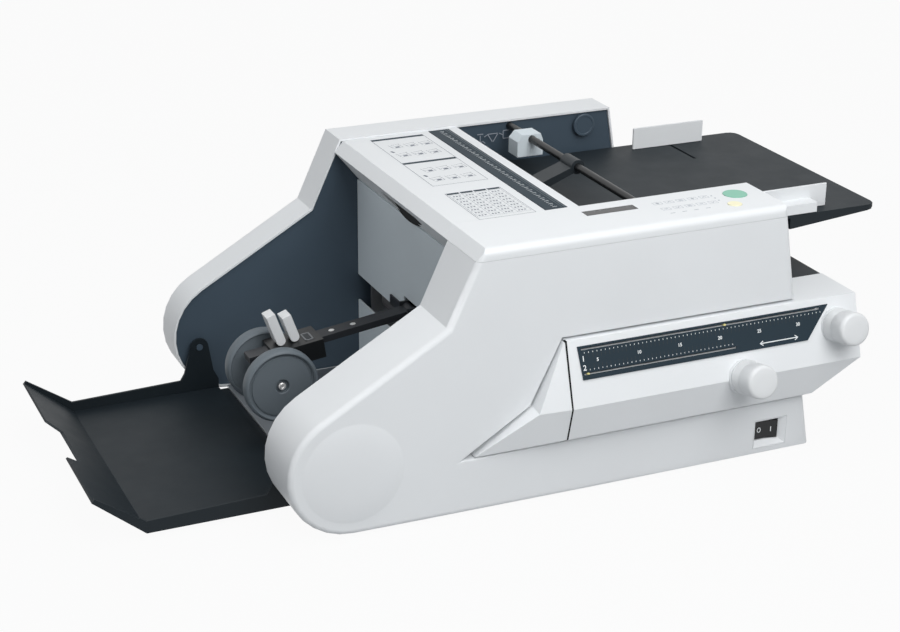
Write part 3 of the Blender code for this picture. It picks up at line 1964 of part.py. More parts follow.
for side in (-1, 1):
    edges = sorted((arm_y + side * carriage_half, arm_y + side * (carriage_half - lug_thick)))
    lug = prism(
        arc(axle_x, axle_z, lug_r, 0.9 * pi, 1.7 * pi, nose_steps // 2)
        + [
            (lug_root_right_x, lug_base_z),
            (lug_root_right_x, lug_root_z),
            (lug_root_left_x, lug_root_z),
        ],
        "Y",
        *edges,
    )
    join(carriage, lug)
cut(
    carriage,
    box(
        carriage_left_x - overrun,
        carriage_right_x + overrun,
        arm_y - bar_half - slide_gap,
        arm_y + bar_half + slide_gap,
        arm_pivot_z - bar_thick / 2 - slide_gap,
        arm_pivot_z + bar_thick / 2 + slide_gap,
    ),
    rod(
        "Y",
        axle_x,
        axle_z,
        axle_r + gap,
        arm_y - carriage_half - overrun,
        arm_y + carriage_half + overrun,
        small_sides,
    ),
)
carriage_seat = arm_point((carriage_left_x + carriage_right_x) / 2, arm_pivot_z)
node("carriage", on_arm(carriage), black, origin=(carriage_seat[0], arm_y, carriage_seat[1]))

# Two pinch levers on the carriage, each on a round foot
lever_1_in = 0.0135
lever_1_x = carriage_left_x + lever_1_in
lever_pitch = 0.0165
lever_2_x = lever_1_x + lever_pitch
lever_r = 0.0055
lever_half = 0.009
lever_1_high = 0.034
lever_2_high = 0.028
lever_lean = radians(12)
lever_z = arm_pivot_z + carriage_high + gap + lever_r
for name, lever_x, lever_high in (
    ("pinch_lever_1", lever_1_x, lever_1_high),
    ("pinch_lever_2", lever_2_x, lever_2_high),
):
    lever = prism(
        arc(lever_x, lever_z, lever_r, pi, 2 * pi, nose_steps // 2)
        + [(lever_x + lever_r, lever_z + lever_high), (lever_x - lever_r, lever_z + lever_high)],
        "Y",
        arm_y - lever_half,
        arm_y + lever_half,
    )
    tipped(lever, "Y", -lever_lean, lever_x, arm_y, lever_z)
    seat = arm_point(lever_x, lever_z)
    node(name, on_arm(lever), knob_white, origin=(seat[0], arm_y, seat[1]))

# Axle with a screw head at each end, and the two wheels
wheel_r = 0.043
wheel_wide = 0.016
wheel_in = 0.024
wheel_edge = 0.0015
rim_wide = 0.005
disc_sink = 0.003
disc_slant = 0.001
hub_r = 0.008
hub_sink = 0.006
screw_r = 0.0045
screw_thick = 0.0025
hub_face = wheel_in + wheel_wide - hub_sink
axle = turned(
    [
        (0, -hub_face - gap - screw_thick),
        (screw_r, -hub_face - gap - screw_thick),
        (screw_r, -hub_face - gap),
        (axle_r, -hub_face - gap),
        (axle_r, hub_face + gap),
        (screw_r, hub_face + gap),
        (screw_r, hub_face + gap + screw_thick),
        (0, hub_face + gap + screw_thick),
    ],
    sides=small_sides,
)
along_y(axle, axle_x, arm_y, axle_z)
axle_seat = arm_point(axle_x, axle_z)
node("wheel_axle", on_arm(axle), steel, origin=(axle_seat[0], arm_y, axle_seat[1]))
for name, side in (("wheel_near", -1), ("wheel_far", 1)):
    face = wheel_in + wheel_wide
    wheel = turned(
        [
            (axle_r + gap, side * wheel_in),
            (wheel_r - wheel_edge, side * wheel_in),
            (wheel_r, side * (wheel_in + wheel_edge)),
            (wheel_r, side * (face - wheel_edge)),
            (wheel_r - wheel_edge, side * face),
            (wheel_r - rim_wide, side * face),
            (wheel_r - rim_wide - disc_slant, side * (face - disc_sink)),
            (hub_r + disc_slant, side * (face - disc_sink)),
            (hub_r, side * (face - hub_sink)),
            (axle_r + gap, side * (face - hub_sink)),
        ],
        sides=2 * small_sides,
    )
    along_y(wheel, axle_x, arm_y, axle_z)
    node(name, on_arm(wheel), wheel_grey, origin=(axle_seat[0], arm_y, axle_seat[1]))
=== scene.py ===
"""Looks of the paper folding machine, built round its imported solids."""
import json
from math import cos, pi, radians, sin

import bpy
from mathutils import Matrix, Vector

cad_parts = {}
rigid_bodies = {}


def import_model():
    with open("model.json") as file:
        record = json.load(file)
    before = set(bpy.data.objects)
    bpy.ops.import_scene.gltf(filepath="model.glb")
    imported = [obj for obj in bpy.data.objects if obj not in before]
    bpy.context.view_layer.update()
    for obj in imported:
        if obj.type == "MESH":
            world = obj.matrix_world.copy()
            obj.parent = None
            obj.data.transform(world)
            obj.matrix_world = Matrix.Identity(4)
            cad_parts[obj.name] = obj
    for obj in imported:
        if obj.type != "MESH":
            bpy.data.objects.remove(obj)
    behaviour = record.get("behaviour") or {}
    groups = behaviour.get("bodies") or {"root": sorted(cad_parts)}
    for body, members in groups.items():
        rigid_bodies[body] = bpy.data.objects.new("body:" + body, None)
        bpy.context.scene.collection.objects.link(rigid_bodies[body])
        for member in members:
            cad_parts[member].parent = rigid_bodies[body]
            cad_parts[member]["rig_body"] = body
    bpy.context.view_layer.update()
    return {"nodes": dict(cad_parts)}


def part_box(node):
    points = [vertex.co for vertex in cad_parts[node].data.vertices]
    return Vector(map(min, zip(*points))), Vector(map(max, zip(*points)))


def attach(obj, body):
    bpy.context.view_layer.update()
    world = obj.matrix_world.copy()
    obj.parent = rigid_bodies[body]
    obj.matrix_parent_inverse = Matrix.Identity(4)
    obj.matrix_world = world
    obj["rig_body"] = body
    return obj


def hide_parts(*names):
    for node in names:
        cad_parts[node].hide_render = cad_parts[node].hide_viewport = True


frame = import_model()

# Camera
# A long lens looks down from the near corner of the delivery side, so that the tray, the near
# cover and the roof all show.
camera_place = Vector((-0.8417, -1.8274, 0.9619))
camera_turn = radians(-24.16)
camera_dip = radians(22.2)
camera_roll = radians(0.5)

bpy.ops.object.camera_add()
camera = bpy.context.object
camera.name = "camera"
camera.data.lens = 76.41
camera.data.sensor_width = 36
camera.data.clip_start = 0.05
camera.data.clip_end = 40
aim = Matrix.Rotation(camera_turn, 4, "Z") @ Matrix.Rotation(pi / 2 - camera_dip, 4, "X")
camera.matrix_world = Matrix.Translation(camera_place) @ aim @ Matrix.Rotation(camera_roll, 4, "Z")
bpy.context.scene.camera = camera

# Floor and studio light
# A white paper sweep under the machine, and three large soft boxes: one above, one at the
# left for the noses of the covers, and one in front for the near cover.
sweep_wide = 16
sweep_grey = (0.34, 0.35, 0.36, 1)
white = (1, 1, 1, 1)
shown_white = 0.95
room_tint = (0.95, 0.975, 1, 1)
room_strength = 0.37
machine_middle = (0, 0, 0.1)

bpy.context.scene.view_settings.view_transform = "Standard"
bpy.ops.object.select_all(action="DESELECT")
bpy.ops.mesh.primitive_plane_add(size=sweep_wide)
floor = bpy.context.object
floor.name = "floor"
paper = bpy.data.materials.new("sweep_paper")
paper.use_nodes = True
tree = paper.node_tree
matt = tree.nodes["Principled BSDF"]
matt.inputs["Base Color"].default_value = sweep_grey
matt.inputs["Roughness"].default_value = 0.9
matt.inputs["Specular IOR Level"].default_value = 0.1
glow = tree.nodes.new("ShaderNodeEmission")
glow.inputs["Color"].default_value = white
glow.inputs["Strength"].default_value = 1
seen = tree.nodes.new("ShaderNodeLightPath")
either = tree.nodes.new("ShaderNodeMath")
either.operation = "MAXIMUM"
share = tree.nodes.new("ShaderNodeMath")
share.operation = "MULTIPLY"
share.inputs[1].default_value = shown_white
blend = tree.nodes.new("ShaderNodeMixShader")
tree.links.new(seen.outputs["Is Camera Ray"], either.inputs[0])
tree.links.new(seen.outputs["Is Glossy Ray"], either.inputs[1])
tree.links.new(either.outputs[0], share.inputs[0])
tree.links.new(share.outputs[0], blend.inputs["Fac"])
tree.links.new(matt.outputs["BSDF"], blend.inputs[1])
tree.links.new(glow.outputs["Emission"], blend.inputs[2])
tree.links.new(blend.outputs["Shader"], tree.nodes["Material Output"].inputs["Surface"])
floor.data.materials.append(paper)

world = bpy.data.worlds.new("studio")
world.use_nodes = True
bpy.context.scene.world = world
tree = world.node_tree
ambient = tree.nodes["Background"]
ambient.inputs["Color"].default_value = room_tint
ambient.inputs["Strength"].default_value = room_strength
white_view = tree.nodes.new("ShaderNodeBackground")
white_view.inputs["Color"].default_value = white
white_view.inputs["Strength"].default_value = 1
seen = tree.nodes.new("ShaderNodeLightPath")
camera_or_gloss = tree.nodes.new("ShaderNodeMath")
camera_or_gloss.operation = "MAXIMUM"
any_view = tree.nodes.new("ShaderNodeMath")
any_view.operation = "MAXIMUM"
blend = tree.nodes.new("ShaderNodeMixShader")
tree.links.new(seen.outputs["Is Camera Ray"], camera_or_gloss.inputs[0])
tree.links.new(seen.outputs["Is Glossy Ray"], camera_or_gloss.inputs[1])
tree.links.new(camera_or_gloss.outputs[0], any_view.inputs[0])
tree.links.new(seen.outputs["Is Transmission Ray"], any_view.inputs[1])
tree.links.new(any_view.outputs[0], blend.inputs["Fac"])
tree.links.new(ambient.outputs["Background"], blend.inputs[1])
tree.links.new(white_view.outputs["Background"], blend.inputs[2])
tree.links.new(blend.outputs["Shader"], tree.nodes["World Output"].inputs["Surface"])


def soft_box(name, place, width, height, power):
    """A rectangular lamp that faces the middle of the machine."""
    bpy.ops.object.light_add(type="AREA", location=place)
    lamp = bpy.context.object
    lamp.name = name
    lamp.data.shape = "RECTANGLE"
    lamp.data.size = width
    lamp.data.size_y = height
    lamp.data.energy = power
    lamp.rotation_euler = (Vector(machine_middle) - Vector(place)).to_track_quat("-Z", "Y").to_euler()


soft_box("box_above", place=(0.05, -0.75, 1.7), width=1.3, height=1.3, power=14.5)
soft_box("box_front", place=(0.1, -2.4, 1.8), width=1.6, height=1.2, power=32.5)
soft_box("box_left", place=(-2.2, -0.4, 1.4), width=1.2, height=1.2, power=5.5)

# Near side cover
# A deep moulded ABS shell, cool white, with a soft radius round its rim and a fine spark-eroded
# grain. It closes the near side of the machine, and its nose carries a shallow round boss.
cover_white = (0.765, 0.785, 0.800)
cover_edge = 0.0008
nose_reach = 0.1755
cover_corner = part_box("front_cover")[0]
# Places on the machine are measured from home, on the cover's face and underside behind its nose.
home = Vector((cover_corner.x + nose_reach, cover_corner.y, cover_corner.z))


def finish(name, colour, shade, roughness, grain=1200, depth=0.00004, gloss=0.5, metal=0):
    """A surface with two tones in slow clouds, an uneven gloss and a fine grain."""
    made = bpy.data.materials.new(name)
    made.use_nodes = True
    nodes, links = made.node_tree.nodes, made.node_tree.links
    surface = nodes["Principled BSDF"]
    surface.inputs["Specular IOR Level"].default_value = gloss
    surface.inputs["Metallic"].default_value = metal
    where = nodes.new("ShaderNodeTexCoord")
    clouds = nodes.new("ShaderNodeTexNoise")
    clouds.inputs["Scale"].default_value = 9
    clouds.inputs["Detail"].default_value = 4
    tone = nodes.new("ShaderNodeValToRGB")
    tone.color_ramp.elements[0].position = 0.32
    tone.color_ramp.elements[1].position = 0.68
    tone.color_ramp.elements[0].color = (*[c * (1 - shade) for c in colour], 1)
    tone.color_ramp.elements[1].color = (*[min(1, c * (1 + shade)) for c in colour], 1)
    smears = nodes.new("ShaderNodeTexNoise")
    smears.inputs["Scale"].default_value = 38
    smears.inputs["Detail"].default_value = 5
    sheen = nodes.new("ShaderNodeMapRange")
    sheen.inputs["To Min"].default_value = roughness - 0.05
    sheen.inputs["To Max"].default_value = roughness + 0.07
    pits = nodes.new("ShaderNodeTexNoise")
    pits.inputs["Scale"].default_value = grain
    pits.inputs["Detail"].default_value = 2
    relief = nodes.new("ShaderNodeBump")
    relief.inputs["Strength"].default_value = 0.35
    relief.inputs["Distance"].default_value = depth
    for texture in (clouds, smears, pits):
        links.new(where.outputs["Object"], texture.inputs["Vector"])
    links.new(clouds.outputs["Fac"], tone.inputs["Fac"])
    links.new(tone.outputs["Color"], surface.inputs["Base Color"])
    links.new(smears.outputs["Fac"], sheen.inputs["Value"])
    links.new(sheen.outputs["Result"], surface.inputs["Roughness"])
    links.new(pits.outputs["Fac"], relief.inputs["Height"])
    links.new(relief.outputs["Normal"], surface.inputs["Normal"])
    return made


def fitted(piece, look, body):
    """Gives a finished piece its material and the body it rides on."""
    piece.data.materials.clear()
    piece.data.materials.append(look)
    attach(piece, body)


def moulded(node, name, look, edge=0.0006, steps=2, corner=35):
    """Stands for a solid: its flat faces made whole, then a moulded radius on its edges."""
    weld = 0.00002
    flat = radians(0.6)
    crease = radians(corner)
    bpy.ops.object.select_all(action="DESELECT")
    solid = frame["nodes"][node]
    piece = bpy.data.objects.new(name, solid.data.copy())
    piece.data.name = name
    bpy.context.scene.collection.objects.link(piece)
    piece.select_set(True)
    bpy.context.view_layer.objects.active = piece
    if piece.data.has_custom_normals:
        bpy.ops.mesh.customdata_custom_splitnormals_clear()
    bpy.ops.object.mode_set(mode="EDIT")
    bpy.ops.mesh.select_all(action="SELECT")
    bpy.ops.mesh.remove_doubles(threshold=weld)
    bpy.ops.mesh.dissolve_limited(angle_limit=flat)
    bpy.ops.object.mode_set(mode="OBJECT")
    if edge:
        bevel = piece.modifiers.new("edges", "BEVEL")
        bevel.width = edge
        bevel.segments = steps
        bevel.limit_method = "ANGLE"
        bevel.angle_limit = crease
        bevel.miter_outer = "MITER_ARC"
        bpy.ops.object.modifier_apply(modifier=bevel.name)
    bpy.ops.object.shade_smooth_by_angle(angle=crease)
    level = piece.modifiers.new("level faces", "WEIGHTED_NORMAL")
    level.keep_sharp = True
    bpy.ops.object.modifier_apply(modifier=level.name)
    fitted(piece, look, solid["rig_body"])
    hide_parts(node)
    return piece


white_abs = finish("white_abs", cover_white, shade=0.012, roughness=0.42)
moulded("front_cover", "near_cover_shell", white_abs, edge=cover_edge)

# Far side cover
# The same shell mirrored, a little taller, so that its flat top shows over the lid. Its inside
# is lined like the near one's.
moulded("rear_cover", "far_cover_shell", white_abs, edge=cover_edge)

# Wall liners
# Blue-grey ABS sheets close the insides of both covers round the delivery side and the feed side.
# They have a coarser grain than the covers, which hides the marks of the paper.
liner_grey = finish(
    "blue_grey_liner", (0.050, 0.074, 0.100), shade=0.06, roughness=0.46,
    grain=700, depth=0.00008, gloss=0.4,
)
moulded("front_liner", "near_wall_liner", liner_grey, edge=0.0004)
moulded("rear_liner", "far_wall_liner", liner_grey, edge=0.0004)

# Inner frame, drive and underside
# Zinc-plated side frames on a folded base pan with rubber feet carry the rollers and the motor.
# Little of them shows, so their grain is what a hand feels on such parts.
zinc_plate = finish(
    "zinc_plate", (0.50, 0.52, 0.54), shade=0.10, roughness=0.42, grain=160, depth=0.00003, metal=1,
)
foot_rubber = finish(
    "foot_rubber", (0.022, 0.022, 0.023), shade=0.15, roughness=0.82, grain=900, depth=0.0001,
)
motor_case = finish(
    "motor_case", (0.40, 0.41, 0.43), shade=0.08, roughness=0.38, grain=300, depth=0.00002, metal=1,
)
moulded("base_pan", "folded_base_pan", zinc_plate, edge=0.0005)
for side in ("near", "far"):
    moulded("side_frame_" + side, side + "_frame_plate", zinc_plate, edge=0)
for number in range(1, 5):
    moulded(f"foot_{number}", f"rubber_foot_{number}", foot_rubber, edge=0.0006)
moulded("drive_motor", "geared_motor", motor_case, edge=0.0005)
moulded("mains_inlet", "inlet_socket", foot_rubber, edge=0)

# Fold rollers and feed roller
# Grey polyurethane sleeves on turned journals, ground across so that they grip the sheet, and a
# softer black rubber sleeve for the feed.
sleeve = finish(
    "roller_sleeve", (0.12, 0.12, 0.126), shade=0.10, roughness=0.7, grain=1500, depth=0.00012,
)
for number in range(1, 5):
    moulded(f"fold_roller_{number}", f"ground_roller_{number}", sleeve, edge=0.0004)
moulded("feed_roller", "ribbed_feed_roller", foot_rubber, edge=0.0004)

# Lid
# The top cover hinges at the feed side. It is the same white ABS, with a slanted front skirt that
# has a crescent finger grip, and a slate ruler strip let into it.
moulded("lid", "lid_shell", white_abs, edge=cover_edge)

# Painted shadow in the finger grip
# A black sheet at the back of the crescent under the skirt, where a hand lifts the lid, is painted
# shade, the dark of the grip. Its lower edge is a shallow curve, and its top corners are cut in a little.
# This black is painted shade, in the finger grip and in the gap between housing and fairing.
shadow_black = finish("shadow_black", (0.005, 0.006, 0.007), shade=0.08, roughness=0.6, gloss=0.15)
grip_face_x = 0.0565
grip_middle_y = 0.2423
grip_half = 0.0562
grip_low_z = 0.2446
grip_curve = 0.0132
grip_top_z = 0.2634
grip_top_share = 0.93
grip_thick = 0.0012
grip_steps = 12


def drawn_line(name, points):
    """A new piece that is one line, drawn from point to point, and is left in edit mode."""
    first_wide = 0.001
    bpy.ops.object.select_all(action="DESELECT")
    bpy.ops.mesh.primitive_plane_add(size=first_wide)
    piece = bpy.context.object
    piece.name = piece.data.name = name
    bpy.ops.object.mode_set(mode="EDIT")
    bpy.ops.mesh.select_all(action="SELECT")
    bpy.ops.transform.translate(value=points[0])
    bpy.ops.mesh.merge(type="CENTER")
    for start, end in zip(points, points[1:]):
        move = Vector(end) - Vector(start)
        bpy.ops.mesh.extrude_vertices_move(TRANSFORM_OT_translate={"value": move})
    bpy.ops.mesh.select_all(action="SELECT")
    return piece


def cut_sheet(name, points, thick, swell=0):
    """A sheet cut to an outline that faces along x, with its thickness and a swell on all sides."""
    piece = drawn_line(name, points)
    bpy.ops.mesh.edge_face_add()
    bpy.ops.mesh.extrude_region_move(TRANSFORM_OT_translate={"value": (thick, 0, 0)})
    bpy.ops.mesh.select_all(action="SELECT")
    bpy.ops.mesh.normals_make_consistent(inside=False)
    if swell:
        bpy.ops.transform.shrink_fatten(value=swell, use_even_offset=True)
    bpy.ops.object.mode_set(mode="OBJECT")
    return piece


shares = [step / grip_steps for step in range(-grip_steps, grip_steps + 1)]
grip_rim = [(share, grip_low_z + grip_curve * share**2) for share in shares]
grip_rim += [(grip_top_share, grip_top_z), (-grip_top_share, grip_top_z)]
grip_points = [
    (home.x + grip_face_x, home.y + grip_middle_y + grip_half * share, home.z + z) for share, z in grip_rim
]
# The crescent sheet is painted shadow.
grip_shadow = cut_sheet("grip_shadow_sheet", grip_points, grip_thick)
fitted(grip_shadow, shadow_black, "lid_assembly")

# Exit panel and sill
# A plain grey moulding hangs under the skirt and leaves the sheets a way out over its sill. Both
# have the same smooth, slightly blue plastic.
exit_plastic = finish("exit_grey", (0.66, 0.73, 0.77), shade=0.02, roughness=0.5)
moulded("exit_panel", "exit_wall", exit_plastic, edge=0.0005)
moulded("exit_sill", "exit_ledge", exit_plastic, edge=0.0005)

# Control panel
# The near end of the top: a white moulding with a display under smoked acrylic and two round
# buttons, the green one to start and the yellow one to stop.
smoked = finish(
    "smoked_acrylic", (0.010, 0.010, 0.012), shade=0.1, roughness=0.14, grain=200, depth=0.000005,
)
start_green = finish("start_green", (0.20, 0.50, 0.37), shade=0.03, roughness=0.36)
stop_yellow = finish("stop_yellow", (0.88, 0.84, 0.58), shade=0.03, roughness=0.36)
moulded("control_panel", "control_panel_shell", white_abs, edge=cover_edge)
moulded("display_window", "display_lens", smoked, edge=0.0003)
moulded("start_button", "start_key", start_green, edge=0.0006, steps=3)
moulded("stop_button", "stop_key", stop_yellow, edge=0.0006, steps=3)

# Fold plate housing and its fairing
# A long faceted box stands out of the near cover round the fold plates, with a thin wedge beside
# it that carries its lines down into the cover. Their facets meet at shallow angles.
facet = 14
plate_black = finish("plate_black", (0.016, 0.021, 0.025), shade=0.08, roughness=0.45, gloss=0.35)
moulded(
    "fold_plate_housing", "fold_plate_box", white_abs,
    edge=cover_edge, steps=3, corner=facet,
)
moulded("corner_fairing", "fairing_wedge", white_abs, edge=0.0006, corner=facet)
moulded("fold_plate_upper", "upper_fold_plate", plate_black, edge=0.0004)
moulded("fold_plate_lower", "lower_fold_plate", plate_black, edge=0.0004)

# Painted shadow between housing and fairing
# A thin black sheet follows the faces of the two pieces as painted shade, the dark line between them.
# It is cut from sheet and swells a little past both.
gap_shadow_x = 0.1317
gap_shadow_thick = 0.0013
gap_shadow_swell = 0.00025
gap_shadow_rim = ((0.0040, 0.0620), (-0.0112, 0.0710), (-0.0212, 0.1100), (-0.0002, 0.1800), (0.0040, 0.1800))
gap_shadow_points = [(home.x + gap_shadow_x, home.y + y, home.z + z) for y, z in gap_shadow_rim]
# This black strip is painted shadow in the gap between housing and fairing.
gap_shadow = cut_sheet("housing_gap_shadow", gap_shadow_points, gap_shadow_thick, gap_shadow_swell)
fitted(gap_shadow, shadow_black, "machine")

# Scale plate
# A slate sheet let into the housing's upper face, printed in white, with a slot for each stop.
# Its edges are left sharp, as cut.
slate = finish("slate_sheet", (0.022, 0.036, 0.048), shade=0.05, roughness=0.5, grain=900, gloss=0.12)
moulded("scale_plate", "scale_sheet", slate, edge=0)

# Fold stops, pointers and belts
# A steel stop bar slides in each fold plate and carries a yellow pointer behind its slot. A rubber
# belt joins it to the steel spindle of its knob.
stop_steel = finish(
    "stop_steel", (0.55, 0.56, 0.58), shade=0.06, roughness=0.36, grain=400, depth=0.00002, metal=1,
)
pointer_yellow = finish("pointer_yellow", (0.85, 0.76, 0.32), shade=0.03, roughness=0.4)
belt_rubber = finish(
    "belt_rubber", (0.02, 0.02, 0.021), shade=0.12, roughness=0.8, grain=1500, depth=0.0001,
)
for level in ("upper", "lower"):
    moulded("fold_stop_" + level, level + "_stop_bar", stop_steel, edge=0.0003)
    moulded("pointer_" + level, level + "_pointer", pointer_yellow, edge=0.0002)
    moulded("knob_shaft_" + level, level + "_knob_spindle", stop_steel, edge=0.0002)
    moulded("belt_" + level, level + "_belt_loop", belt_rubber, edge=0)

# Power switch
# A white funnel let into the near cover leads down to a black rocker key, which tilts between
# off and on.
switch_black = finish("switch_black", (0.008, 0.009, 0.010), shade=0.1, roughness=0.34, gloss=0.4)
moulded("switch_surround", "switch_funnel", white_abs, edge=0)
rocker_key = moulded("power_rocker", "rocker_key", switch_black, edge=0.0005)

# Feed table, side guides, separator and hold-down block
# A black textured plate carries the sheets between two white sliding guides. The pale block and
# the separator's lever swing on a black shaft that crosses over it.
table_black = finish(
    "table_black", (0.009, 0.014, 0.018), shade=0.08, roughness=0.52, grain=600, depth=0.00008, gloss=0.22,
)
moulded("feed_table", "feed_table_plate", table_black, edge=0.0006)
for side in ("near", "far"):
    moulded("side_guide_" + side, side + "_guide_rail", white_abs, edge=0.0006)
moulded("cross_shaft", "cross_bar", switch_black, edge=0.0003)
moulded("separator_arm", "separator_lever", plate_black, edge=0)
moulded("hold_down_block", "hold_down_weight", exit_plastic, edge=0.0008)

# Delivery tray
# A black textured pan with low side walls catches the folded sheets. It folds up on its hinge,
# and a notch in its raised end leaves room for a hand.
moulded("delivery_tray", "delivery_tray_pan", table_black, edge=0.0006)

# Delivery arm, carriage and levers
# A black bar hinged in a saddle reaches out over the tray. A black carriage slides along it, with
# two white levers on top and a steel axle for the wheels.
arm_black = finish("arm_black", (0.018, 0.020, 0.024), shade=0.08, roughness=0.42, gloss=0.4)
knob_white = finish("knob_white", (0.71, 0.725, 0.735), shade=0.012, roughness=0.36)
arm_bar = moulded("roller_arm", "arm_bar", arm_black, edge=0.0006)
moulded("arm_bracket", "arm_saddle", arm_black, edge=0.0005)
carriage_block = moulded("carriage", "carriage_block", switch_black, edge=0.0006)
for number in (1, 2):
    moulded(f"pinch_lever_{number}", f"white_lever_{number}", knob_white, edge=0.0008)
moulded("wheel_axle", "axle_pin", stop_steel, edge=0.0003)

# Labels on the lid
# Three printed films with dark title bars: two show plain sheets with their folds, one is a
# plain table. They are generic prints, glued flat on the lid.
film_white = finish(
    "label_film", (0.74, 0.76, 0.775), shade=0.01, roughness=0.3, grain=300, depth=0.00001,
)
ink_dark = finish(
    "dark_ink", (0.040, 0.056, 0.070), shade=0.05, roughness=0.6, grain=900, depth=0.00001, gloss=0.1,
)
ink_grey = finish(
    "grey_ink", (0.13, 0.15, 0.19), shade=0.05, roughness=0.6, grain=900, depth=0.00001, gloss=0.1,
)
lid_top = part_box("lid")[1].z
film_thick = 0.00008
title_thick = 0.00004
print_thick = 0.00003
label_left, label_right = 0.072, 0.139
label_ends = ((0.313, 0.397), (0.211, 0.300))
table_box = (0.073, 0.139, 0.090, 0.181)
outline_wide = 0.0005
title_drop = 0.0025
title_short = 0.001
title_high = 0.0060


def flat_bars(name, look, bars, height, thick, body, matrix=None, edge=0.0):
    """Thin bars in one mesh; each is its middle, its length, its width and its turn."""
    bpy.ops.object.select_all(action="DESELECT")
    bpy.ops.mesh.primitive_plane_add(size=1)
    piece = bpy.context.object
    piece.name = piece.data.name = name
    bpy.ops.object.mode_set(mode="EDIT")
    bpy.ops.mesh.delete(type="VERT")
    for x, y, long, wide, turn in bars:
        bpy.ops.mesh.primitive_plane_add(size=1, location=(x, y, height), rotation=(0, 0, turn))
        bpy.ops.transform.resize(
            value=(long, wide, 1), orient_type="GLOBAL", orient_matrix=Matrix.Rotation(turn, 3, "Z"),
            orient_matrix_type="GLOBAL", center_override=(x, y, height),
        )
    bpy.ops.mesh.select_all(action="SELECT")
    bpy.ops.mesh.extrude_region_move(TRANSFORM_OT_translate={"value": (0, 0, thick)})
    bpy.ops.mesh.select_all(action="SELECT")
    bpy.ops.mesh.normals_make_consistent(inside=False)
    if edge:
        bpy.ops.mesh.bevel(offset=edge, segments=1, affect="EDGES")
    bpy.ops.object.mode_set(mode="OBJECT")
    if matrix:
        piece.data.transform(matrix)
    fitted(piece, look, body)


def on_roof(x, y):
    """The place in the frame of a point that is given by its x and y on the machine."""
    return home.x + x, home.y + y


def filled(x0, x1, y0, y1):
    """One bar that fills a box on the roof."""
    return *on_roof((x0 + x1) / 2, (y0 + y1) / 2), x1 - x0, y1 - y0, 0


def outlined(x0, x1, y0, y1, wide):
    """Four bars along the sides of a box on the roof."""
    across = [(*on_roof((x0 + x1) / 2, y), x1 - x0, wide, 0) for y in (y0, y1)]
    along = [(*on_roof(x, (y0 + y1) / 2), wide, y1 - y0, 0) for x in (x0, x1)]
    return across + along


films = [filled(label_left, label_right, low, high) for low, high in label_ends]
films.append(filled(*table_box))
title_tops = [high - title_drop for low, high in label_ends]
titles = []
for top in title_tops:
    middle = on_roof((label_left + label_right) / 2, top)
    titles.append((*middle, label_right - label_left - title_short, title_high, 0))

# Each drawing is a leaning sheet with a fold line across it and a shaded flap.
line = 0.0004
sheet_wide, sheet_high = 0.0125, 0.0130
lean_across, lean_up = radians(14), radians(8)
sheet_lines = (
    (0, 0, sheet_wide, line, lean_across), (-0.0015, -sheet_high / 2, sheet_wide, line, lean_across),
    (0, -sheet_high, sheet_wide, line, lean_across), (-0.0075, -sheet_high / 2, line, sheet_high, lean_up),
    (0.0055, -0.0055, line, sheet_high, lean_up), (0, -0.0098, 0.0060, 0.0032, lean_across),
)
drawing_first, drawing_pitch = 0.012, 0.019
drawing_rows = ((0.024, 0.080), (0.058, 0.076))
side_mark_x, side_mark_drop = 0.0790, 0.050
side_mark = (0.003, 0.006, radians(20))
prints = []
for top in title_tops:
    for drop, row_left in drawing_rows:
        for step in range(3):
            x, y = on_roof(row_left + drawing_first + drawing_pitch * step, top - drop)
            prints += [(x + dx, y + dy, long, wide, turn) for dx, dy, long, wide, turn in sheet_lines]
    prints.append((*on_roof(side_mark_x, top - side_mark_drop), *side_mark))
prints += outlined(label_left, label_right, label_ends[1][0], label_ends[0][1], outline_wide)
prints += outlined(*table_box, outline_wide)

# The table has four columns of three marks in eight rows, under four title bars.
grid_left, grid_top = 0.0750, 0.1735
column_pitch, row_pitch, mark_pitch = 0.0155, 0.0095, 0.0035
rule = 0.0003
mark_drop = 0.0047
mark_wide, mark_high = 0.0021, 0.0026
heading_left, heading_pitch = 0.0815, 0.0163
heading_wide, heading_high = 0.0146, 0.0050
columns, rows, marks = 4, 8, 3
grid_middle_x = grid_left + column_pitch * columns / 2
grid_middle_y = grid_top - row_pitch * rows / 2
for column in range(columns):
    heading = on_roof(heading_left + heading_pitch * column, table_box[3] - title_drop)
    titles.append((*heading, heading_wide, heading_high, 0))
    for row in range(rows):
        for mark in range(marks):
            x = grid_left + column_pitch * column + mark_pitch * (mark + 1)
            prints.append((*on_roof(x, grid_top - mark_drop - row_pitch * row), mark_wide, mark_high, 0))
for row in range(rows + 1):
    prints.append((*on_roof(grid_middle_x, grid_top - row_pitch * row), column_pitch * columns, rule, 0))
for column in range(columns + 1):
    prints.append((*on_roof(grid_left + column_pitch * column, grid_middle_y), rule, row_pitch * rows, 0))
film_top = lid_top + film_thick
flat_bars("label_films", film_white, films, lid_top, film_thick, "lid_assembly")
flat_bars("label_title_bars", ink_dark, titles, film_top, title_thick, "lid_assembly")
flat_bars("label_prints", ink_grey, prints, film_top, print_thick, "lid_assembly")

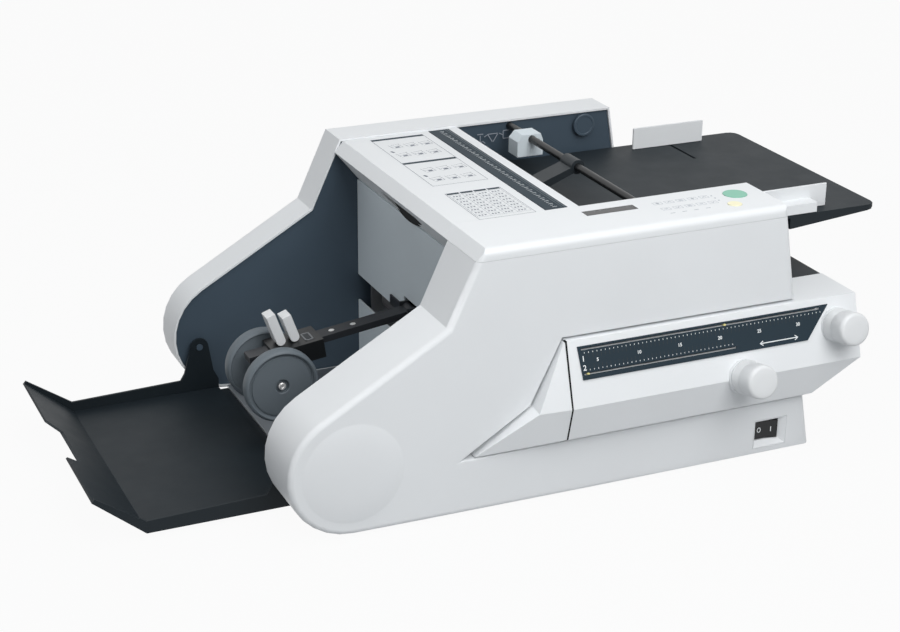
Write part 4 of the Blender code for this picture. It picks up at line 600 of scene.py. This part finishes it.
# Ruler strip
# The slate strip in the lid has two raised ribs along its right side and white printed ticks, one
# every five millimetres, with a longer one at each centimetre.
ink_white = finish("white_ink", (0.80, 0.83, 0.84), shade=0.02, roughness=0.45, grain=900, depth=0.00001)
rib_slate = finish("rib_slate", (0.075, 0.10, 0.12), shade=0.05, roughness=0.4, grain=900, gloss=0.4)
ruler_low, ruler_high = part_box("ruler_plate")
ruler_long = ruler_high.y - ruler_low.y
ruler_middle = (ruler_low.y + ruler_high.y) / 2
tick_margin, tick_pitch = 0.006, 0.005
tick_start, tick_wide = 0.0115, 0.0007
long_tick, short_tick = 0.0052, 0.0030
print_high = 0.00005
rib_high, rib_edge, rib_short = 0.0005, 0.0002, 0.002
ruler_top = ruler_high.z
ribs = [
    (ruler_high.x - inset, ruler_middle, wide, ruler_long - rib_short, 0)
    for inset, wide in ((0.0030, 0.0016), (0.0062, 0.0009))
]
ticks = []
for step in range(int((ruler_long - 2 * tick_margin) / tick_pitch) + 1):
    y = ruler_low.y + tick_margin + tick_pitch * step
    long = short_tick if step % 2 else long_tick
    ticks.append((ruler_low.x + tick_start + long / 2, y, long, tick_wide, 0))
moulded("ruler_plate", "ruler_strip", slate, edge=0.0002, steps=1)
flat_bars("ruler_ticks", ink_white, ticks, ruler_top, print_high, "lid_assembly")
flat_bars("ruler_ribs", rib_slate, ribs, ruler_top, rib_high, "lid_assembly", edge=rib_edge)

# Keys and lamps of the control panel
# Flat membrane keys lie under a printed film right of the display: plain outlines with arrows,
# bars and dots, printed in pale grey. A low smoked frame runs round the display.
ink_pale = finish("pale_ink", (0.30, 0.33, 0.38), shade=0.04, roughness=0.5, grain=900, depth=0.00001)
panel_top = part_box("control_panel")[1].z
key_left, key_pitch = 0.272, 0.0145
key_top, key_row_pitch = 0.064, 0.019
key_line = 0.0004
key_wide, key_half_wide = 0.0105, 0.00505
key_side_high, key_half_high = 0.0066, 0.0035
sign_long, sign_wide = 0.0044, 0.0012
arrow_off, arrow_long, arrow_wide = 0.0010, 0.0036, 0.0009
list_pitch, list_long, list_wide = 0.0016, 0.0050, 0.0007
key_lines, key_marks = [], []
for row in range(2):
    for column in range(5):
        x, y = on_roof(key_left + key_pitch * column, key_top - key_row_pitch * row)
        for side in (-1, 1):
            key_lines.append((x, y + side * key_half_high, key_wide, key_line, 0))
            key_lines.append((x + side * key_half_wide, y, key_line, key_side_high, 0))
        if column in (0, 3):
            key_marks.append((x, y, sign_long, sign_wide, 0))
            if row == 0:
                key_marks.append((x, y, sign_wide, sign_long, 0))
        elif column in (1, 4):
            turn = -pi / 4 if row else pi / 4
            key_marks.append((x - arrow_off, y, arrow_long, arrow_wide, turn))
            key_marks.append((x + arrow_off, y, arrow_long, arrow_wide, -turn))
        else:
            for step in (-1, 0, 1):
                key_marks.append((x, y + list_pitch * step, list_long, list_wide, 0))
foot_y, foot_long, foot_wide = 0.0305, 0.0058, 0.0010
for step in range(4):
    key_marks.append((*on_roof(key_left + key_pitch * step, foot_y), foot_long, foot_wide, 0))
lamp_x, lamp_pitch, lamp_wide = 0.3395, 0.008, 0.0020
for step in range(3):
    key_marks.append((*on_roof(lamp_x, key_top - lamp_pitch * step), lamp_wide, lamp_wide, 0))
flat_bars("key_outlines", ink_pale, key_lines, panel_top, print_high, "machine")
flat_bars("key_marks", ink_pale, key_marks, panel_top, print_high, "machine")
lens_low, lens_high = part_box("display_window")
lens_middle = (lens_low + lens_high) / 2
bezel_off, bezel_wide, bezel_high = 0.0006, 0.0010, 0.0002
beyond = 2 * bezel_off + bezel_wide
bezel = []
for x in (lens_low.x - bezel_off, lens_high.x + bezel_off):
    bezel.append((x, lens_middle.y, bezel_wide, lens_high.y - lens_low.y + beyond, 0))
for y in (lens_low.y - bezel_off, lens_high.y + bezel_off):
    bezel.append((lens_middle.x, y, lens_high.x - lens_low.x + beyond, bezel_wide, 0))
flat_bars("display_bezel", smoked, bezel, panel_top, bezel_high, "machine")

# Prints on the scale plate
# White ticks run along both slots, with the centimetres numbered by fives, the two numerals of
# the stops at the left and a double arrow at the right. They are screen-printed.
# This black serves the dark ticks and the carriage window, and is painted shade in the slots of the scale
# plate.
scale_black_and_shade = finish(
    "scale_black_and_shade", (0.008, 0.012, 0.016), shade=0.05, roughness=0.5, grain=900, depth=0.00001,
)
plate_run, plate_rise = 0.021, 0.070
lean = Vector((0, plate_run, plate_rise)).normalized()
outward = Vector((0, -lean.z, lean.y))
reach = max(vertex.co.dot(outward) for vertex in frame["nodes"]["scale_plate"].data.vertices)
plate_face = Matrix.Identity(4)
plate_face.col[1] = (*lean, 0)
plate_face.col[2] = (*outward, 0)
plate_face = plate_face @ Matrix.Translation((0, 0, reach))


def on_plate(x, z):
    """The place on the printed face of a point that is given by its x and height on the machine."""
    return home.x + x, (home.z + z - reach * outward.z) / lean.z


scale_start, half_centimetre, last_tick = 0.1516, 0.004986, 60
fine_wide, fine_high = 0.0006, 0.0014
dark_wide, dark_short, dark_long = 0.0005, 0.0030, 0.0046
tick_rows = ((0.446, 0.1662, 0.1625), (0.336, 0.1484, 0.1518))
fine_ticks, dark_ticks = [], []
for step in range(last_tick + 1):
    x = scale_start + half_centimetre * step
    for end_x, fine_z, dark_z in tick_rows:
        if x < end_x:
            fine_ticks.append((*on_plate(x, fine_z), fine_wide, fine_high, 0))
            dark_ticks.append((*on_plate(x, dark_z), dark_wide, dark_short if step % 2 else dark_long, 0))
arrow_x, arrow_z = 0.390, 0.1438
shaft_long, shaft_wide = 0.046, 0.0011
barb_x, barb_z = 0.0225, 0.0011
barb_long, barb_wide, barb_turn = 0.0050, 0.0010, 0.6
arrow = [(*on_plate(arrow_x, arrow_z), shaft_long, shaft_wide, 0)]
for side in (-1, 1):
    for hand in (1, -1):
        barb = on_plate(arrow_x + side * barb_x, arrow_z - side * hand * barb_z)
        arrow.append((*barb, barb_long, barb_wide, hand * barb_turn))
tick_high, dark_high = 0.00005, 0.00004
flat_bars("scale_ticks", ink_white, fine_ticks, 0, tick_high, "machine", plate_face)
flat_bars("scale_dark_ticks", scale_black_and_shade, dark_ticks, 0, dark_high, "machine", plate_face)
flat_bars("scale_arrow", ink_white, arrow, 0, tick_high, "machine", plate_face)

# Numerals of the scale
# Plain sans-serif figures in the same white ink: 5 to 30 along the scale, and a 1 and a 2 where
# the slots of the two stops begin.
first_five_x, five_centimetres = 0.1665, 10 * half_centimetre
five_z, five_size = 0.1572, 0.0052
figure_size = 0.0082
figure_thick, figure_swell, figure_lift = 0.00003, 0.00012, 0.00004
figures = [(str(5 * n), first_five_x + five_centimetres * (n - 1), five_z, five_size) for n in range(1, 7)]
figures += [("1", 0.1497, 0.1600, figure_size), ("2", 0.1505, 0.1506, figure_size)]
for text, x, z, size in figures:
    bpy.ops.object.select_all(action="DESELECT")
    bpy.ops.object.text_add()
    numeral = bpy.context.object
    numeral.data.body = text
    numeral.data.size = size
    numeral.data.align_x = "CENTER"
    numeral.data.align_y = "CENTER"
    numeral.data.extrude = figure_thick
    numeral.data.offset = figure_swell
    bpy.ops.object.convert(target="MESH")
    numeral = bpy.context.object
    numeral.name = numeral.data.name = f"numeral_{text}_at_{round(x * 1000)}"
    numeral.data.transform(plate_face @ Matrix.Translation((*on_plate(x, z), figure_lift)))
    fitted(numeral, ink_white, "machine")

# Slots of the scale plate
# The black sheets along the sheet's cut edges inside both slots, and a black sheet below each pointer,
# are painted shade: the dark of the slots and of the housing behind them.
edge_shade_wide, edge_shade_floor, edge_shade_deep = 0.0003, -0.0042, 0.0034
slot_edges = ((0.1479, 0.4453, 0.10662, 0.10913), (0.1494, 0.3353, 0.0800, 0.0825))
edge_shades = []
for x0, x1, low, high in slot_edges:
    for up in (low + edge_shade_wide / 2, high - edge_shade_wide / 2):
        edge_shades.append((home.x + (x0 + x1) / 2, up, x1 - x0, edge_shade_wide, 0))
# Painted shade along the slot edges.
flat_bars(
    "slot_edge_shade", scale_black_and_shade, edge_shades, edge_shade_floor, edge_shade_deep, "machine", plate_face,
)
shade_sheet_thick = 0.0004
# Each black sheet below a pointer is painted shade, the dark of the housing seen through its slot.
for level, shade_sheet_box, shade_sheet_z in (
    ("upper", (0.148, 0.445, -0.0025, 0.020), 0.1665),
    ("lower", (0.1495, 0.335, -0.010, 0.011), 0.1410),
):
    shade_sheet = [filled(*shade_sheet_box)]
    height = home.z + shade_sheet_z
    flat_bars(level + "_slot_shade_sheet", scale_black_and_shade, shade_sheet, height, shade_sheet_thick, "machine")

# Marks on the power rocker
# A ring and a bar, printed white on the two halves of the black key. Each lies on the face of the
# key that is behind it.
ring_sides, ring_radius = 32, 0.0031
ring_squash, ring_wide = 0.78, 0.0008
bar_wide, bar_high = 0.0010, 0.0059184
mark_thick = 0.00012
in_front = 0.2
rocker_low, rocker_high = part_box("power_rocker")
for text, share in (("0", 0.27), ("1", 0.73)):
    bpy.ops.object.select_all(action="DESELECT")
    if text == "0":
        bpy.ops.mesh.primitive_circle_add(vertices=ring_sides, radius=ring_radius, fill_type="NGON")
    else:
        bpy.ops.mesh.primitive_plane_add(size=1)
    mark = bpy.context.object
    mark.name = mark.data.name = "rocker_mark_" + text
    bpy.ops.object.mode_set(mode="EDIT")
    bpy.ops.mesh.select_all(action="SELECT")
    if text == "0":
        bpy.ops.transform.resize(value=(ring_squash, 1, 1))
        bpy.ops.mesh.inset(thickness=ring_wide, depth=0)
        bpy.ops.mesh.delete(type="FACE")
    else:
        bpy.ops.transform.resize(value=(bar_wide, bar_high, 1))
    bpy.ops.mesh.select_all(action="SELECT")
    bpy.ops.mesh.extrude_region_move(TRANSFORM_OT_translate={"value": (0, 0, mark_thick)})
    bpy.ops.mesh.select_all(action="SELECT")
    bpy.ops.mesh.normals_make_consistent(inside=False)
    bpy.ops.object.mode_set(mode="OBJECT")
    x = rocker_low.x + (rocker_high.x - rocker_low.x) * share
    z = (rocker_low.z + rocker_high.z) / 2
    spot, normal = rocker_key.ray_cast(Vector((x, home.y - in_front, z)), Vector((0, 1, 0)))[1:3]
    upright = (Vector((0, 0, 1)) - normal * normal.z).normalized()
    turn = Matrix.Identity(4)
    turn.col[0] = (*upright.cross(normal), 0)
    turn.col[1] = (*upright, 0)
    turn.col[2] = (*normal, 0)
    mark.data.transform(Matrix.Translation(spot) @ turn)
    fitted(mark, ink_white, "rocker")

# Stacking wheels
# Two grey wheels turn freely on the carriage's axle and press the folded sheets down. Each has a
# rounded tyre, a groove, a flat disc and a deep hub that hides the head of its screw.
wheel_grey = finish("wheel_grey", (0.13, 0.155, 0.175), shade=0.05, roughness=0.5, grain=800, gloss=0.35)
bore, hub = 0.0034, 0.0080
wheel_sides = 72


def turned(piece, axis, sides, place):
    """Spins the outline that is open in edit mode about the axis, and puts the piece in place."""
    weld = 0.00002
    crease = radians(40)
    bpy.ops.mesh.spin(steps=sides, angle=2 * pi, center=(0, 0, 0), axis=axis)
    bpy.ops.mesh.select_all(action="SELECT")
    bpy.ops.mesh.remove_doubles(threshold=weld)
    bpy.ops.mesh.normals_make_consistent(inside=False)
    bpy.ops.object.mode_set(mode="OBJECT")
    piece.data.transform(place)
    bpy.ops.object.shade_smooth_by_angle(angle=crease)


for node, name, body, inner in (
    ("wheel_near", "near_wheel_turned", "wheel_1", 1), ("wheel_far", "far_wheel_turned", "wheel_2", -1),
):
    low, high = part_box(node)
    thick = high.y - low.y
    rim = (high.z - low.z) / 2
    # Each point is a radius and a depth from the wheel's outer side: hub, disc, groove, tyre, back.
    half = [
        (bore, 0.0060), (hub - 0.0004, 0.0060), (hub, 0.0056), (hub, 0.0026), (hub + 0.0006, 0.0020),
        (0.0300, 0.0024), (rim - 0.0082, 0.0028), (rim - 0.0074, 0.0040), (rim - 0.0060, 0.0040),
        (rim - 0.0053, 0.0022), (rim - 0.0046, 0.0008), (rim - 0.0034, 0.0002), (rim - 0.0018, 0.0006),
        (rim - 0.0006, 0.0020), (rim, 0.0042), (rim, thick - 0.0042), (rim - 0.0006, thick - 0.0020),
        (rim - 0.0018, thick - 0.0006), (rim - 0.0034, thick), (rim - 0.0050, thick - 0.0016),
        (0.0125, thick - 0.0022), (0.0118, thick), (bore, thick),
    ]
    wheel = drawn_line(name, [(r, (depth - thick / 2) * inner, 0) for r, depth in half])
    bpy.ops.mesh.edge_face_add()
    bpy.ops.mesh.delete(type="ONLY_FACE")
    bpy.ops.mesh.select_all(action="SELECT")
    turned(wheel, (0, 1, 0), wheel_sides, Matrix.Translation((low + high) / 2))
    fitted(wheel, wheel_grey, body)
    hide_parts(node)

# Fold stop knobs
# White turned knobs with a flared foot, a waist and a cap with a soft edge. Their axes lean, so
# that they stand square on the housing's collars.
knob_lean = radians(12)
knob_sides = 64
same_height = 0.0003
knob_way = Vector((0, -cos(knob_lean), sin(knob_lean)))
for level in ("upper", "lower"):
    node = "knob_" + level
    low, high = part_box(node)
    spots = [vertex.co for vertex in frame["nodes"][node].data.vertices]
    foot_height = min(spot.dot(knob_way) for spot in spots)
    long = max(spot.dot(knob_way) for spot in spots) - foot_height
    ring = [spot for spot in spots if spot.dot(knob_way) - foot_height < same_height]
    foot = sum(ring, Vector()) / len(ring)
    foot.x = (low.x + high.x) / 2
    outline = [
        (0, 0), (0.0188, 0), (0.0195, 0.0008), (0.0193, 0.0030), (0.0179, 0.0108), (0.0175, 0.0120),
        (0.0177, 0.0130), (0.0187, 0.0156), (0.0190, 0.0168), (0.0190, long - 0.0060),
        (0.0188, long - 0.0038), (0.0181, long - 0.0019), (0.0168, long - 0.0007),
        (0.0150, long - 0.0002), (0.0080, long), (0, long),
    ]
    knob = drawn_line(level + "_knob_turned", [(r, 0, up) for r, up in outline])
    stand = knob_way.to_track_quat("Z", "Y").to_matrix().to_4x4()
    turned(knob, (0, 0, 1), knob_sides, Matrix.Translation(foot) @ stand)
    fitted(knob, knob_white, level + "_knob")
    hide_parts(node)

# Axle screws
# A bright screw holds each wheel and sits deep in its hub. Its head is domed in two steps round
# a small recess.
nickel = finish(
    "nickel_plate", (0.74, 0.74, 0.73), shade=0.06, roughness=0.3, grain=300, depth=0.00002, metal=0.55,
)
axle_low, axle_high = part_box("wheel_axle")
axle_middle = (axle_low + axle_high) / 2
head_sides, head_radius, head_high = 36, 0.0042, 0.0009
head_crease = radians(30)
head_steps = ((0.0007, 0.0005), (0.0014, 0.0002), (0.0005, -0.0006))


def small_disc(name, sides, radius, high, steps):
    """A round head whose top is stepped by insets, each with its width and its rise."""
    bpy.ops.object.select_all(action="DESELECT")
    bpy.ops.mesh.primitive_circle_add(vertices=sides, radius=radius, fill_type="NGON")
    piece = bpy.context.object
    piece.name = piece.data.name = name
    bpy.ops.object.mode_set(mode="EDIT")
    bpy.ops.mesh.select_all(action="SELECT")
    bpy.ops.mesh.extrude_region_move(TRANSFORM_OT_translate={"value": (0, 0, high)})
    for width, rise in steps:
        bpy.ops.mesh.inset(thickness=width, depth=rise)
    bpy.ops.mesh.select_all(action="SELECT")
    bpy.ops.mesh.normals_make_consistent(inside=False)
    bpy.ops.object.mode_set(mode="OBJECT")
    return piece


for side, hand, end_y in (("near", 1, axle_low.y), ("far", -1, axle_high.y)):
    screw = small_disc(side + "_axle_screw", head_sides, head_radius, head_high, head_steps)
    stand = Matrix.Rotation(pi / 2 * hand, 4, "X")
    screw.data.transform(Matrix.Translation((axle_middle.x, end_y, axle_middle.z)) @ stand)
    bpy.ops.object.shade_smooth_by_angle(angle=head_crease)
    fitted(screw, nickel, "carriage_assembly")

# Painted shade under the base pan
# A thin black sheet under the edge of the pan closes the way down between pan and tray, over the
# whole depth of the machine's foot. It is painted shade, for the shaded floor seen through that gap.
pan_shade_x, pan_shade_y = -0.1195, 0.2440
pan_shade_wide, pan_shade_long = 0.0175, 0.330
pan_shade_drop, pan_shade_thick, pan_shade_edge = 0.0010, 0.0006, 0.0001
pan_shade = [(*on_roof(pan_shade_x, pan_shade_y), pan_shade_wide, pan_shade_long, 0)]
pan_shade_foot = home.z - pan_shade_drop
# The black sheet is painted shade, for the shaded floor between pan and tray.
flat_bars(
    "pan_gap_shade", table_black, pan_shade, pan_shade_foot, pan_shade_thick, "machine", edge=pan_shade_edge,
)

# Carriage window
# A worn grey frame round a dark slot lies on top of the carriage. It follows the slope of the
# arm, which carries the carriage.
worn_grey = finish("worn_grey", (0.16, 0.17, 0.18), shade=0.12, roughness=0.38, grain=900, gloss=0.4)
arm_slope = Matrix.Rotation(radians(-7.8), 4, "Y")
above = 0.25
window_x, window_y = -0.0685, 0.2401
window_sides = [(x, 0, 0.0018, 0.0200, 0) for x in (-0.0042, 0.0042)]
window_sides += [(0, y, 0.0102, 0.0018, 0) for y in (-0.0091, 0.0091)]
window_slot = [(0, 0, 0.0066, 0.0164, 0)]
frame_high, frame_edge, slot_high = 0.0006, 0.0001, 0.0001
spot = carriage_block.ray_cast(home + Vector((window_x, window_y, above)), Vector((0, 0, -1)))[1]
on_top = Matrix.Translation(spot) @ arm_slope
flat_bars(
    "carriage_window_frame", worn_grey, window_sides, 0, frame_high, "carriage_assembly",
    on_top, frame_edge,
)
flat_bars(
    "carriage_window", scale_black_and_shade, window_slot, 0, slot_high, "carriage_assembly", on_top,
)

# Screws of the arm
# Two bright countersunk screws are let into the middle of the bar, so flush that the carriage
# passes over them.
flush_y = 0.2439
flush_sides, flush_radius, flush_high = 28, 0.0033, 0.00004
flush_steps = ((0.0014, 0), (0.0003, -0.00003))
for number, x in ((1, -0.038), (2, -0.012)):
    spot = arm_bar.ray_cast(home + Vector((x, flush_y, above)), Vector((0, 0, -1)))[1]
    screw = small_disc(f"flush_screw_{number}", flush_sides, flush_radius, flush_high, flush_steps)
    screw.data.transform(Matrix.Translation(spot) @ arm_slope)
    fitted(screw, nickel, "arm")

# Fittings of the far wall on the feed side
# A round cover plate over the shaft's far bearing, and a plain printed sign for the sheet's path,
# drawn in a dozen short strokes.
wall_y = 0.4083
on_wall = Matrix.Rotation(pi / 2, 4, "X")
cap_x, cap_z = 0.363, 0.2775
cap_sides, cap_radius, cap_high = 48, 0.0142, 0.0026
cap_steps = ((0.0008, 0.0006), (0.0020, 0), (0.0005, -0.0006))
cap = small_disc("bearing_cap", cap_sides, cap_radius, cap_high, cap_steps)
cap.data.transform(Matrix.Translation(home + Vector((cap_x, wall_y, cap_z))) @ on_wall)
bpy.ops.object.shade_smooth_by_angle(angle=head_crease)
fitted(cap, liner_grey, "machine")
stroke = 0.0010
sign = []
for x, z, long, high, turn in (
    (0.221, 0.281, 0.008, stroke, 0), (0.221, 0.2755, stroke, 0.0080, 0),
    (0.229, 0.2785, 0.0060, stroke, 0.5), (0.238, 0.2800, 0.0130, stroke, 0),
    (0.2345, 0.2745, 0.0110, stroke, -1.0), (0.2415, 0.2745, 0.0110, stroke, 1.0),
    (0.249, 0.2785, 0.0060, stroke, -0.5), (0.256, 0.2825, 0.0080, stroke, 0),
    (0.256, 0.2725, 0.0080, stroke, 0), (0.252, 0.2775, stroke, 0.0090, 0),
    (0.2225, 0.2705, 0.0050, stroke, 0.7), (0.226, 0.2705, 0.0050, stroke, -0.7),
):
    sign.append((home.x + x, home.z + z, long, high, turn))
sign_place = Matrix.Translation((0, home.y + wall_y, 0)) @ on_wall
flat_bars("path_sign", ink_pale, sign, 0, print_high, "machine", sign_place)
